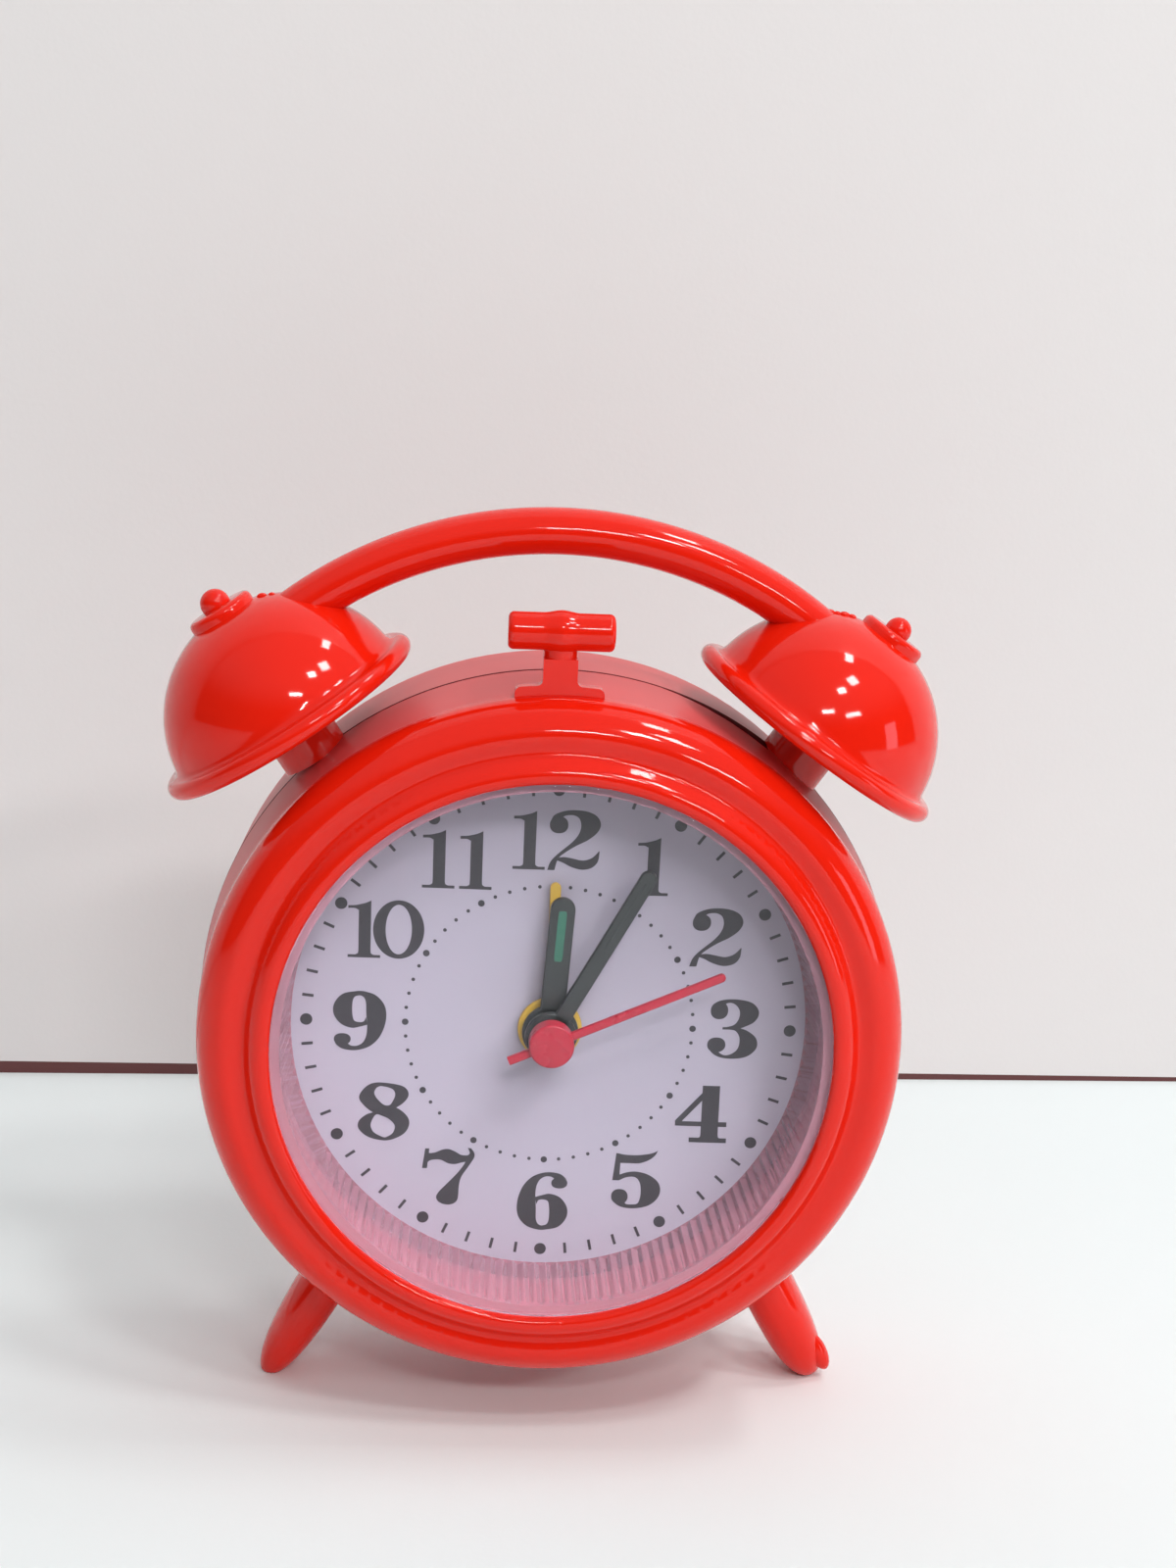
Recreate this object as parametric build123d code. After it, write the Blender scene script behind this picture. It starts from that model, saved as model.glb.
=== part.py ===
from build123d import *
from math import atan2, cos, degrees, hypot, pi, radians, sin
import os

# Twin-bell style quartz alarm clock, built piece by piece.
#
# Dial frame used by every function: origin at the middle of the dial's printed face, +X to the
# viewer's right, +Y towards the back of the clock, +Z up.  The pieces are written out in the row
# frame, whose origin is the bottom centre of the bounding box.  All sizes are in millimetres.

os.makedirs("parts", exist_ok=True)


def at(dist, angle):
    """Point (x, z) at a distance and direction from the dial centre."""
    return dist * cos(radians(angle)), dist * sin(radians(angle))


# ---------------------------------------------------------------- clearances
GAP = 0.3              # air between pieces that only sit near each other
RUN = 0.05             # radial running clearance of a shaft in its hole
FAR = 100.0            # reach of the blocks that only cut
HALF_TURN = 180.0

# ---------------------------------------------------------------- battery bay
BOX_WALL = 0.8         # wall of the movement box and of the cradle under it
BATTERY_R = 7.15
BATTERY_LEN = 50.5     # with the nub
BATTERY_NUB_R = 2.6
BATTERY_NUB_H = 1.2
BATTERY_Y = 15.4
BATTERY_Z = -18.0
BATTERY_ROOM = 0.95    # air under the cell
CONTACT_T = 0.4
CONTACT_HALF = 4.5
SPRING_WIRE_R = 0.3
SPRING_R = 2.7
SPRING_TURNS = 3
SPRING_ROOM = 2.8      # room along the cell for its spring
CRADLE_LEFT_X = -29.0
CRADLE_X = (CRADLE_LEFT_X, CRADLE_LEFT_X + BATTERY_LEN + SPRING_ROOM + 2 * (CONTACT_T + BOX_WALL))
CRADLE_Y = (7.2, 20.5)
CRADLE_BOTTOM_Z = BATTERY_Z - BATTERY_R - BATTERY_ROOM - BOX_WALL
DOOR_HALF_X = 27.0
DOOR_HALF_Z = 8.1
DOOR_T = 1.4
DOOR_CLEAR = 0.2

# ---------------------------------------------------------------- case
SEAM_Y = 6.4           # plane where the two mouldings meet
WALL = 1.7             # wall of the drum
DRUM_ROOM = 1.545      # air between the cradle's outer corner and the drum
SEAM_R = hypot(CRADLE_LEFT_X, CRADLE_BOTTOM_Z) + DRUM_ROOM + WALL   # largest radius of the drum
SEAM_BREAK = 0.2       # bevel on each moulding's outer edge at the seam
SHOULDER_Y = -6.0      # where the drum turns into the bezel
SHOULDER_R = SEAM_R - 0.7
BACK_Y = 25.0          # outside of the back wall
BACK_WALL = 1.6
BACK_R = SEAM_R - 0.5  # drum radius where the back edge starts to round
BACK_ROUND = 4.0
VALLEY_R = SHOULDER_R - 5.7            # groove between the bezel's outer and inner rings
VALLEY_Y = SHOULDER_Y - 4.75
CREST_R = VALLEY_R - 1.9               # inner ring
CREST_Y = VALLEY_Y - 1.75
LIP_R = CREST_R - 1.4                  # hole of the bezel
LIP_Y = CREST_Y + 0.5
TUBE_WALL = 1.6        # red tube behind the lip, round the lens
TUBE_END_Y = -1.2
BEZEL_CURVE = ((SHOULDER_R - 0.6, SHOULDER_Y - 2.6), (SHOULDER_R - 2.2, SHOULDER_Y - 4.5),
               (VALLEY_R + 1.6, VALLEY_Y - 0.35), (VALLEY_R, VALLEY_Y),
               (CREST_R + 1.0, CREST_Y + 0.8), (CREST_R, CREST_Y), (LIP_R + 0.4, CREST_Y + 0.05))
BEZEL_INSIDE = ((SHOULDER_R - 3.8, SHOULDER_Y - 3.4), (SHOULDER_R - 2.4, SHOULDER_Y - 2.4))
DIAL_HEIGHT = SEAM_R + 7.55            # dial centre above the table

# ---------------------------------------------------------------- bells
CROWN_X = -0.7         # bells, handle and hammer stand this far off the dial's middle
BELL_RING_R = SEAM_R + 5.31            # dial centre to the middle of the rim circle
BELL_AT = 41.37        # direction of that middle, degrees from upright
BELL_X = BELL_RING_R * sin(radians(BELL_AT))
BELL_Z = BELL_RING_R * cos(radians(BELL_AT))
BELL_TILT = 34.0       # degrees from upright, outwards
DOME_R = 15.1
DOME_WALL = 1.6
DOME_DROP = 0.35       # dome centre below the rim's middle plane
RIM_R = DOME_R + 1.95
RIM_H = 2.3
RIM_ROUND = 1.05
NECK_R = 4.2
NECK_LEN = 12.0        # below the rim's middle plane, before the drum trims it
WASHER_R = 4.2
WASHER_ROUND = 0.7
WASHER_TOP = DOME_R - DOME_DROP + 0.85
WASHER_SINK = 2.05     # height of the washer, most of it inside the dome
BALL_R = 2.0
BALL_H = WASHER_TOP + 0.8

# ---------------------------------------------------------------- handle
HANDLE_R = 50.7        # centre line of the bow
HANDLE_Z = BELL_Z - 27.3               # centre of that circle
HANDLE_HALF_T = 2.8    # half height of the oval bar
HANDLE_HALF_W = 3.5    # half depth of the oval bar
HANDLE_HALF_ARC = degrees(atan2(BELL_X, BELL_Z - HANDLE_Z))   # ends over the bell's middle

# ---------------------------------------------------------------- feet
FEET_X = 1.5           # the pair stands this far off the dial's middle
FOOT_RING_R = SEAM_R - 3.3             # dial centre to the leg's start, inside the drum
FOOT_AT = 37.7         # direction of that start, degrees from straight down
FOOT_TILT = 32.3
FOOT_LEN = 24.6        # to where the leg would come to a point, below its sole
FOOT_HALF_W = 3.4
FOOT_HALF_D = 5.7
FOOT_FULLNESS = 3.6    # a higher power keeps the leg thick for longer
FOOT_STEPS = 12
FOOT_SHIFT_Y = 1.6     # the leg's middle line lies this far behind the seam

# ---------------------------------------------------------------- dummy hammer
PAD_W = 10.4
PAD_TOP_R = SHOULDER_R + 1.2
PAD_FRONT_Y = SHOULDER_Y + 0.1
PAD_DEPTH = 1.5
PAD_ROUND = 0.8
STEM_R = 2.0
STEM_FILLET = 0.7      # where the stem runs out into the pad
HAMMER_RISE = 6.1
HAMMER_Z = PAD_TOP_R + HAMMER_RISE
HAMMER_Y = -4.5
HAMMER_R = 2.2
HAMMER_LEN = 12.4
HAMMER_ROUND = 0.7
HAMMER_SWELL = 0.3     # how much fuller the head is in the middle
HAMMER_SWELL_LEN = 4.4

# ---------------------------------------------------------------- lens and dial
LENS_FACE_Y = LIP_Y + 0.1
LENS_FACE_T = 1.2
LENS_R = LIP_R - RUN
LENS_WALL = 1.1
DIAL_R = LIP_R + TUBE_WALL - 0.3
DIAL_EDGE_R = LIP_R - 2.1              # what shows of the dial inside the lens
DIAL_T = 0.8
DIAL_HOLE_R = 3.2

# ---------------------------------------------------------------- hands
SECOND_ARBOR_R = 0.45
TUBE_T = 0.45          # wall of each of the nested tubes
MINUTE_TUBE_R = SECOND_ARBOR_R + RUN + TUBE_T
HOUR_TUBE_R = MINUTE_TUBE_R + RUN + TUBE_T
ALARM_TUBE_R = HOUR_TUBE_R + RUN + TUBE_T
BOSS_BORE_R = ALARM_TUBE_R + RUN
BOSS_R = 3.0
ALARM_HAND_Y = (-1.4, -0.9)
HOUR_HAND_Y = (-2.9, -2.2)
MINUTE_HAND_Y = (-4.5, -3.8)
SECOND_HAND_Y = (-7.1, -6.5)
SECOND_HUB_Y = (-7.8, -5.6)
SECOND_ARBOR_TIP_Y = -7.0
ALARM_HAND = (17.3, 0.65, 3.9)       # length, half width, hub radius
HOUR_HAND = (15.6, 1.5, 3.4)
MINUTE_HAND = (22.0, 0.95, 3.1)
SECOND_HAND = (22.0, 0.5, 2.7)
SECOND_TAIL = 5.4
HOUR_ANGLE = 2.6                     # degrees clockwise from twelve
MINUTE_ANGLE = 31.0
SECOND_ANGLE = 67.5
ALARM_ANGLE = 0.0

# ---------------------------------------------------------------- movement
BOX_TOP_Z = 27.0
BOX_BOTTOM_Z = -10.4
BOX_FRONT_Y = 2.6
BOX_BACK_Y = 17.4
PLATE_Y = (DIAL_T, BOX_FRONT_Y)
MIDDLE_PLATE_Y = (6.6, 7.4)

MOTION_DIST, MOTION_AT = 10.5, 135.0      # arbor distance from the centre, direction in degrees
ALARM_DIST, ALARM_AT = 11.5, 60.0
THIRD_DIST, THIRD_AT = 9.0, 0.0
INTER_DIST, INTER_AT = 9.0, 190.0
ROTOR_DIST = 8.4                          # from the intermediate arbor, in the same direction
MOTION_XZ = at(MOTION_DIST, MOTION_AT)
ALARM_XZ = at(ALARM_DIST, ALARM_AT)
THIRD_XZ = at(THIRD_DIST, THIRD_AT)
INTER_XZ = at(INTER_DIST, INTER_AT)
ROTOR_XZ = at(INTER_DIST + ROTOR_DIST, INTER_AT)

ALARM_PINION_TEETH = 12
ALARM_TEETH = 36
MOTION_PINION_TEETH = 8
HOUR_TEETH = 32
MINUTE_PINION_TEETH = 10
MOTION_TEETH = 30
THIRD_PINION_TEETH = 8
CENTRE_TEETH = 60
SECOND_PINION_TEETH = 8
THIRD_TEETH = 64
INTER_PINION_TEETH = 10
SECOND_TEETH = 50
ROTOR_TEETH = 8
INTER_TEETH = 48
ALARM_LAYER = (3.1, 3.9)
HOUR_LAYER = (4.3, 5.1)
MOTION_LAYER = (5.5, 6.3)
CENTRE_LAYER = (7.75, 8.45)
THIRD_LAYER = (9.3, 10.0)
SECOND_LAYER = (10.5, 11.2)
INTER_LAYER = (11.7, 12.4)
MINUTE_TUBE_END_Y = 8.8
ARBOR_R = 0.6
ARBOR_Y = (6.75, 17.0)
KNOB_ARBOR_R = 0.8
KNOB_ARBOR_Y = (1.8, 28.6)
MAGNET_R = 2.5
MAGNET_Y = (12.9, 14.2)

# ---------------------------------------------------------------- coil, board, buzzer
STATOR_Y = (13.0, 13.8)
STATOR_RING_R = 4.3
STATOR_ARM = 2.6
COIL_Z = (-4.4, 8.4)
COIL_R = 2.4
COIL_CLEAR = 0.56      # air between the coil and the stator's ring
COIL_X = ROTOR_XZ[0] - STATOR_RING_R - COIL_CLEAR - COIL_R
BOX_HALF_X = COIL_R - COIL_X + 0.4 + BOX_WALL      # the box is as wide as the coil needs
BOARD_X = (-20.0, 16.0)
BOARD_Z = (19.2, 25.6)
BOARD_Y = (11.6, 12.6)
CRYSTAL_R = 1.0
CRYSTAL_LEN = 6.2
CRYSTAL_AT = (6.0, 22.2)
BUZZER_R = 8.6
BUZZER_RING_R = BACK_R - BACK_ROUND - BUZZER_R - 0.7
BUZZER_AT = 46.4       # direction of its middle, degrees from +X
BUZZER_T = 3.2
SOUND_HOLE_R = 0.9
SOUND_PITCH = 3.4

# ---------------------------------------------------------------- back controls
KNOB_R = 5.4
KNOB_FRONT_Y = BACK_Y + 0.5
KNOB_BACK_Y = 30.6
KNOB_FLUTES = 16
KNOB_HOLE_R = KNOB_ARBOR_R + 0.5
SWITCH_AT = (-18.0, 22.0)
SWITCH_SLOT = (9.0, 3.4)
SWITCH_TRAVEL = 3.0
SWITCH_STEM = (5.0, 2.8)

# ---------------------------------------------------------------- screws
SCREW_BOSS_R = 2.5
SCREW_TUBE_R = 3.1
SCREW_PCD_R = SHOULDER_R - WALL - SCREW_TUBE_R
SCREW_HEAD_R = 2.0
SCREW_R = 0.9
SCREW_SEAT_Y = 12.0
SCREW_TIP_Y = -1.5
SCREW_HEAD_H = 1.6
PRESS_POST_R = 1.1     # posts that press the dial and lens forward
PRESS_POST_AT = DIAL_R - 0.8

FRONT_Y = CREST_Y - 0.1
ROW_SHIFT = (-CROWN_X, -(FRONT_Y + KNOB_BACK_Y) / 2, DIAL_HEIGHT)


# ================================================================ helpers
def face_plane(y, x=0.0, z=0.0):
    """Sketch plane parallel to the dial at depth y, local x = X and local y = Z."""
    return Plane(origin=(x, y, z), x_dir=(1, 0, 0), z_dir=(0, -1, 0))


def slab(sketch, y_front, y_back, x=0.0, z=0.0):
    """Extrude a sketch drawn in the dial plane from y_front to y_back."""
    return extrude(face_plane(y_back, x, z) * sketch, amount=y_back - y_front)


def disc(r, y_front, y_back, x=0.0, z=0.0):
    """Round disc or rod along Y."""
    return slab(Circle(r), y_front, y_back, x, z)


def ring(r_out, r_in, y_front, y_back, x=0.0, z=0.0):
    """Round ring or tube along Y."""
    return slab(Circle(r_out) - Circle(r_in), y_front, y_back, x, z)


def turned(points):
    """Solid of revolution about the Y axis from a closed outline of (radius, y) points."""
    outline = make_face(Polyline(*points, close=True))
    return revolve(outline, axis=Axis.Y)


def block(x0, x1, y0, y1, z0, z1):
    """Box between two corners."""
    size = Box(x1 - x0, y1 - y0, z1 - z0)
    return Pos((x0 + x1) / 2, (y0 + y1) / 2, (z0 + z1) / 2) * size


def front_half():
    """Half space in front of the seam."""
    return block(-FAR, FAR, -FAR, SEAM_Y, -FAR, FAR)


def rear_half():
    """Half space behind the seam."""
    return block(-FAR, FAR, SEAM_Y, FAR, -FAR, FAR)


def drum_wall():
    """Outer (radius, y) points of the drum from the bezel's shoulder to the round back edge."""
    return [(SHOULDER_R, SHOULDER_Y), (SEAM_R, SEAM_Y), (BACK_R, BACK_Y - BACK_ROUND)]


def drum_envelope():
    """Solid drum used to trim whatever is moulded onto the outside of the case."""
    wall = drum_wall()
    return turned([(0, SHOULDER_Y)] + wall + [(0, BACK_Y - BACK_ROUND)])


def gear_outline(teeth, module, turn=0.0):
    """Gear outline: straight-flanked teeth, thinner than half the pitch so that pairs run free."""
    pitch_r = module * teeth / 2
    tip_r = pitch_r + 0.85 * module
    root_r = pitch_r - 1.15 * module
    step = 2 * pi / teeth
    corners = ((-0.27, root_r), (-0.21, pitch_r), (-0.09, tip_r),
               (0.09, tip_r), (0.21, pitch_r), (0.27, root_r))
    points = []
    for i in range(teeth):
        for share, r in corners:
            angle = radians(turn) + (i + share) * step
            points.append((r * cos(angle), r * sin(angle)))
    return make_face(Polyline(*points, close=True))


def wheel(teeth, module, layer, x, z, bore_r, turn=0.0):
    """Toothed disc, with a round bore unless its radius is 0."""
    outline = gear_outline(teeth, module, turn)
    if bore_r:
        outline -= Circle(bore_r)
    return slab(outline, layer[0], layer[1], x, z)


def mesh_turn(teeth, direction, gap):
    """Turn that puts a tooth (gap False) or a tooth space (gap True) on the given direction."""
    return direction + (HALF_TURN / teeth if gap else 0.0)


def module_of(pinion_teeth, gear_teeth, dist):
    """Module of a pair from its centre distance."""
    return 2 * dist / (pinion_teeth + gear_teeth)


# ================================================================ case mouldings
def screw_spots():
    """Middles of the four screws."""
    return [at(SCREW_PCD_R, angle) for angle in (0, 90, 180, 270)]


def press_spots():
    """Middles of the four posts that press the dial forward."""
    return [at(PRESS_POST_AT, angle) for angle in (0, 90, 180, 270)]


def buzzer_spot():
    """Middle of the buzzer and of its sound holes."""
    return at(BUZZER_RING_R, BUZZER_AT)


def front_shell():
    """Bezel, front half of the drum, tube round the lens and four screw bosses."""
    tube_r = LIP_R + TUBE_WALL
    face = Polyline((LIP_R, LIP_Y), (LIP_R, TUBE_END_Y), (tube_r, TUBE_END_Y), (tube_r, VALLEY_Y + WALL),
                    *BEZEL_INSIDE, (SHOULDER_R - WALL, SHOULDER_Y), (SEAM_R - WALL, SEAM_Y),
                    (SEAM_R - SEAM_BREAK, SEAM_Y), (SEAM_R, SEAM_Y - SEAM_BREAK), (SHOULDER_R, SHOULDER_Y))
    bezel = Spline((SHOULDER_R, SHOULDER_Y), *BEZEL_CURVE, (LIP_R, LIP_Y))
    shell = revolve(make_face(face + bezel), axis=Axis.Y)
    for x, z in screw_spots():
        shell += disc(SCREW_BOSS_R, VALLEY_Y + WALL - 0.2, SEAM_Y, x, z)
    for x, z in screw_spots():
        shell -= disc(SCREW_R, SCREW_TIP_Y - 0.5, SEAM_Y, x, z)
    return shell


def rear_shell():
    """Rear half of the drum with its back wall, openings, screw tubes and press posts."""
    inner_r = SEAM_R - WALL
    edge_r = BACK_R - BACK_ROUND
    inside_y = BACK_Y - BACK_WALL
    outer = Polyline((0, inside_y), (edge_r - 0.4, inside_y), (BACK_R - WALL, BACK_Y - BACK_ROUND),
                     (inner_r, SEAM_Y), (SEAM_R - SEAM_BREAK, SEAM_Y), (SEAM_R, SEAM_Y + SEAM_BREAK),
                     (BACK_R, BACK_Y - BACK_ROUND))
    edge = RadiusArc((BACK_R, BACK_Y - BACK_ROUND), (edge_r, BACK_Y), -BACK_ROUND)
    back = Polyline((edge_r, BACK_Y), (0, BACK_Y), (0, inside_y))
    shell = revolve(make_face(outer + edge + back), axis=Axis.Y)
    for x, z in screw_spots():
        shell += disc(SCREW_TUBE_R, SEAM_Y, inside_y + 0.2, x, z)
    for x, z in press_spots():
        shell += disc(PRESS_POST_R, DIAL_T, inside_y + 0.2, x, z)
    for x, z in screw_spots():
        shell -= disc(SCREW_HEAD_R + GAP, SCREW_SEAT_Y, BACK_Y + 1, x, z)
        shell -= disc(SCREW_R + 0.1, SEAM_Y - 1, SCREW_SEAT_Y, x, z)
    opening_x = DOOR_HALF_X + DOOR_CLEAR
    opening_z = DOOR_HALF_Z + DOOR_CLEAR
    shell -= block(-opening_x, opening_x, inside_y - 0.5, BACK_Y + 1,
                   BATTERY_Z - opening_z, BATTERY_Z + opening_z)
    for x, z in (MOTION_XZ, ALARM_XZ):
        shell -= disc(KNOB_HOLE_R, inside_y - 0.5, BACK_Y + 1, x, z)
    shell -= slab(Rectangle(*SWITCH_SLOT), inside_y - 0.5, BACK_Y + 1, *SWITCH_AT)
    middle_x, middle_z = buzzer_spot()
    for x, z in [(0, 0)] + [at(SOUND_PITCH, 60 * i) for i in range(6)]:
        shell -= disc(SOUND_HOLE_R, inside_y - 0.5, BACK_Y + 1, middle_x + x, middle_z + z)
    return shell


def bell_frame(side):
    """Places a bell drawn about its own +Z axis with the rim's middle plane at z = 0."""
    return Pos(CROWN_X + side * BELL_X, SEAM_Y, BELL_Z) * Rot(0, side * BELL_TILT, 0)


def dome_envelope(side):
    """Ball that the outside of a dome is cut from."""
    return bell_frame(side) * Pos(0, 0, -DOME_DROP) * Sphere(DOME_R)


def bell(side):
    """Whole bell: rim, hollow dome, finial and the neck that stands on the drum."""
    low = -RIM_H / 2
    inner_r = DOME_R - DOME_WALL
    dome = Pos(0, 0, -DOME_DROP) * (Sphere(DOME_R) - Sphere(inner_r))
    dome &= Pos(0, 0, FAR / 2 + low) * Box(FAR, FAR, FAR)
    rim = extrude(Plane.XY.offset(low) * (Circle(RIM_R) - Circle(inner_r - 0.1)), amount=RIM_H)
    rim = fillet(rim.edges().filter_by(GeomType.CIRCLE).sort_by(SortBy.RADIUS)[-2:], RIM_ROUND)
    washer = extrude(Plane.XY.offset(WASHER_TOP - WASHER_SINK) * Circle(WASHER_R), amount=WASHER_SINK)
    washer = fillet(washer.edges().sort_by(Axis.Z)[-1], WASHER_ROUND)
    ball = Pos(0, 0, BALL_H) * Sphere(BALL_R)
    neck_top = inner_r - DOME_DROP + 0.4
    neck = extrude(Plane.XY.offset(-NECK_LEN) * Circle(NECK_R), amount=NECK_LEN + neck_top)
    local = dome + rim + washer + ball + neck
    return bell_frame(side) * local - drum_envelope()


def handle():
    """Bowed carrying handle with an oval section, trimmed to the domes."""
    section = Plane(origin=(CROWN_X, SEAM_Y, HANDLE_Z + HANDLE_R), x_dir=(0, 1, 0), z_dir=(1, 0, 0))
    oval = section * Ellipse(HANDLE_HALF_W, HANDLE_HALF_T)
    axis = Axis((CROWN_X, SEAM_Y, HANDLE_Z), (0, 1, 0))
    half = revolve(oval, axis=axis, revolution_arc=HANDLE_HALF_ARC)
    other = revolve(oval, axis=axis, revolution_arc=-HANDLE_HALF_ARC)
    return half + other - dome_envelope(-1) - dome_envelope(1)


def leg_section(step):
    """Distance along the leg, half width and half depth of one section, closer set near the tip."""
    share = sin(pi / 2 * step / FOOT_STEPS)
    left = 1 - share ** FOOT_FULLNESS
    return FOOT_LEN * share, FOOT_HALF_W * left ** 0.8, FOOT_HALF_D * left ** 0.6


def foot(side):
    """Tapered splayed leg with a flat sole."""
    x, z = at(FOOT_RING_R, side * FOOT_AT - HALF_TURN / 2)
    frame = Pos(FEET_X + x, SEAM_Y + FOOT_SHIFT_Y, z) * Rot(0, HALF_TURN - side * FOOT_TILT, 0)
    sections = [frame * Pos(0, 0, t) * Ellipse(a, b) for t, a, b in map(leg_section, range(FOOT_STEPS - 1))]
    table = block(-FAR, FAR, -FAR, FAR, -FAR, -DIAL_HEIGHT)
    return loft(sections, ruled=True) - drum_envelope() - table


def hammer_head():
    """Cross head turned about X, a little fuller in the middle."""
    half = HAMMER_LEN / 2
    swell = HAMMER_SWELL_LEN / 2
    edge = HAMMER_R - HAMMER_ROUND
    right = Spline((0, HAMMER_R + HAMMER_SWELL), (swell, HAMMER_R), tangents=[(1, 0), (1, 0)])
    side = Line((swell, HAMMER_R), (half - HAMMER_ROUND, HAMMER_R))
    corner = RadiusArc((half - HAMMER_ROUND, HAMMER_R), (half, edge), HAMMER_ROUND)
    end = Polyline((half, edge), (half, 0), (0, 0), (0, HAMMER_R + HAMMER_SWELL))
    half_head = revolve(make_face(right + side + corner + end), axis=Axis.X)
    return half_head + mirror(half_head, about=Plane.YZ)


def hammer():
    """Fixed dummy hammer: thin pad on the shoulder, round stem and cross head."""
    sector = Pos(0, PAD_TOP_R) * Rectangle(PAD_W, 2 * (PAD_TOP_R - SHOULDER_R + 1))
    plate = (Circle(PAD_TOP_R) & sector) + Pos(0, PAD_TOP_R) * Rectangle(2 * STEM_R, HAMMER_Z - PAD_TOP_R)
    ends = plate.vertices().filter_by(lambda v: abs(v.X) > PAD_W / 2 - 0.1).sort_by(Axis.Y)[-2:]
    plate = fillet(ends, PAD_ROUND)
    inner = plate.vertices().filter_by(lambda v: abs(abs(v.X) - STEM_R) < 0.1).sort_by(Axis.Y)[-4:-2]
    plate = fillet(inner, STEM_FILLET)
    pad = slab(plate, PAD_FRONT_Y, PAD_FRONT_Y + PAD_DEPTH)
    stem_z = (SHOULDER_R - 1, HAMMER_Z)
    stem = Pos(0, PAD_FRONT_Y + STEM_R, sum(stem_z) / 2) * Cylinder(STEM_R, stem_z[1] - stem_z[0])
    head = Pos(0, HAMMER_Y, HAMMER_Z) * hammer_head()
    return Pos(CROWN_X, 0, 0) * (pad + stem + head) - drum_envelope()


# ================================================================ face
def lens():
    """Clear cup: front window, drafted wall and the flange that sits on the dial."""
    flange_r = DIAL_R + 0.1
    back_wall_r = DIAL_EDGE_R + LENS_WALL + 0.5
    window_back = LENS_FACE_Y + LENS_FACE_T
    return turned([(0, LENS_FACE_Y), (LENS_R, LENS_FACE_Y), (back_wall_r, TUBE_END_Y),
                   (flange_r, TUBE_END_Y), (flange_r, 0), (DIAL_EDGE_R, 0),
                   (LENS_R - LENS_WALL, window_back), (0, window_back)])


def dial():
    """Printed plate with the hole for the boss."""
    return ring(DIAL_R, DIAL_HOLE_R, 0, DIAL_T)


def hand(size, layer, bore_r, clockwise, tail=0.0):
    """Hand with a round hub; length and half width as in size, turned clockwise from twelve."""
    length, half, hub_r = size
    blade = Pos(0, (length - tail) / 2) * SlotOverall(length + tail, 2 * half, rotation=90)
    if not tail:
        blade = Pos(0, length / 2) * (SlotOverall(length + 2 * half, 2 * half, rotation=90))
        blade = Pos(0, -half) * blade
    outline = Rot(0, 0, -clockwise) * blade + Circle(hub_r)
    if bore_r:
        outline -= Circle(bore_r)
    return slab(outline, *layer)


def alarm_hand():
    """Yellow alarm hand, lowest of the four."""
    return hand(ALARM_HAND, ALARM_HAND_Y, ALARM_TUBE_R, ALARM_ANGLE)


def hour_hand():
    """Black hour hand."""
    return hand(HOUR_HAND, HOUR_HAND_Y, HOUR_TUBE_R, HOUR_ANGLE)


def minute_hand():
    """Black minute hand."""
    return hand(MINUTE_HAND, MINUTE_HAND_Y, MINUTE_TUBE_R, MINUTE_ANGLE)


def second_hand():
    """Red second hand with its tall hub and short tail."""
    length, half, hub_r = SECOND_HAND
    blade = hand((length, half, hub_r), SECOND_HAND_Y, 0, SECOND_ANGLE, SECOND_TAIL)
    return blade + disc(hub_r, *SECOND_HUB_Y) - disc(SECOND_ARBOR_R, SECOND_ARBOR_TIP_Y, SECOND_HUB_Y[1] + 1)


# ================================================================ movement
def arbor_hole(piece, spot, layer, radius=ARBOR_R):
    """Cuts a running hole for an arbor."""
    return piece - disc(radius + RUN, layer[0], layer[1], *spot)


def movement_front_plate():
    """Plate behind the dial with the boss that the hands turn in."""
    plate = block(-BOX_HALF_X, BOX_HALF_X, *PLATE_Y, BOX_BOTTOM_Z, BOX_TOP_Z)
    plate += disc(BOSS_R, -0.5, PLATE_Y[0] + 0.1)
    plate -= disc(BOSS_BORE_R, -1, PLATE_Y[1] + 1)
    for spot in (MOTION_XZ, ALARM_XZ):
        plate = arbor_hole(plate, spot, (KNOB_ARBOR_Y[0] - 0.1, PLATE_Y[1] + 1), KNOB_ARBOR_R)
    return plate


def movement_middle_plate():
    """Plate between the hand wheels and the going train."""
    inset = BOX_WALL
    half_x = BOX_HALF_X - inset
    plate = block(-half_x, half_x, *MIDDLE_PLATE_Y, BOX_BOTTOM_Z + inset, BOX_TOP_Z - inset)
    through = (MIDDLE_PLATE_Y[0] - 1, MIDDLE_PLATE_Y[1] + 1)
    plate = arbor_hole(plate, (0, 0), through, MINUTE_TUBE_R)
    for spot in (MOTION_XZ, ALARM_XZ):
        plate = arbor_hole(plate, spot, through, KNOB_ARBOR_R)
    for spot in (THIRD_XZ, INTER_XZ, ROTOR_XZ):
        plate = arbor_hole(plate, spot, through)
    return plate


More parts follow.
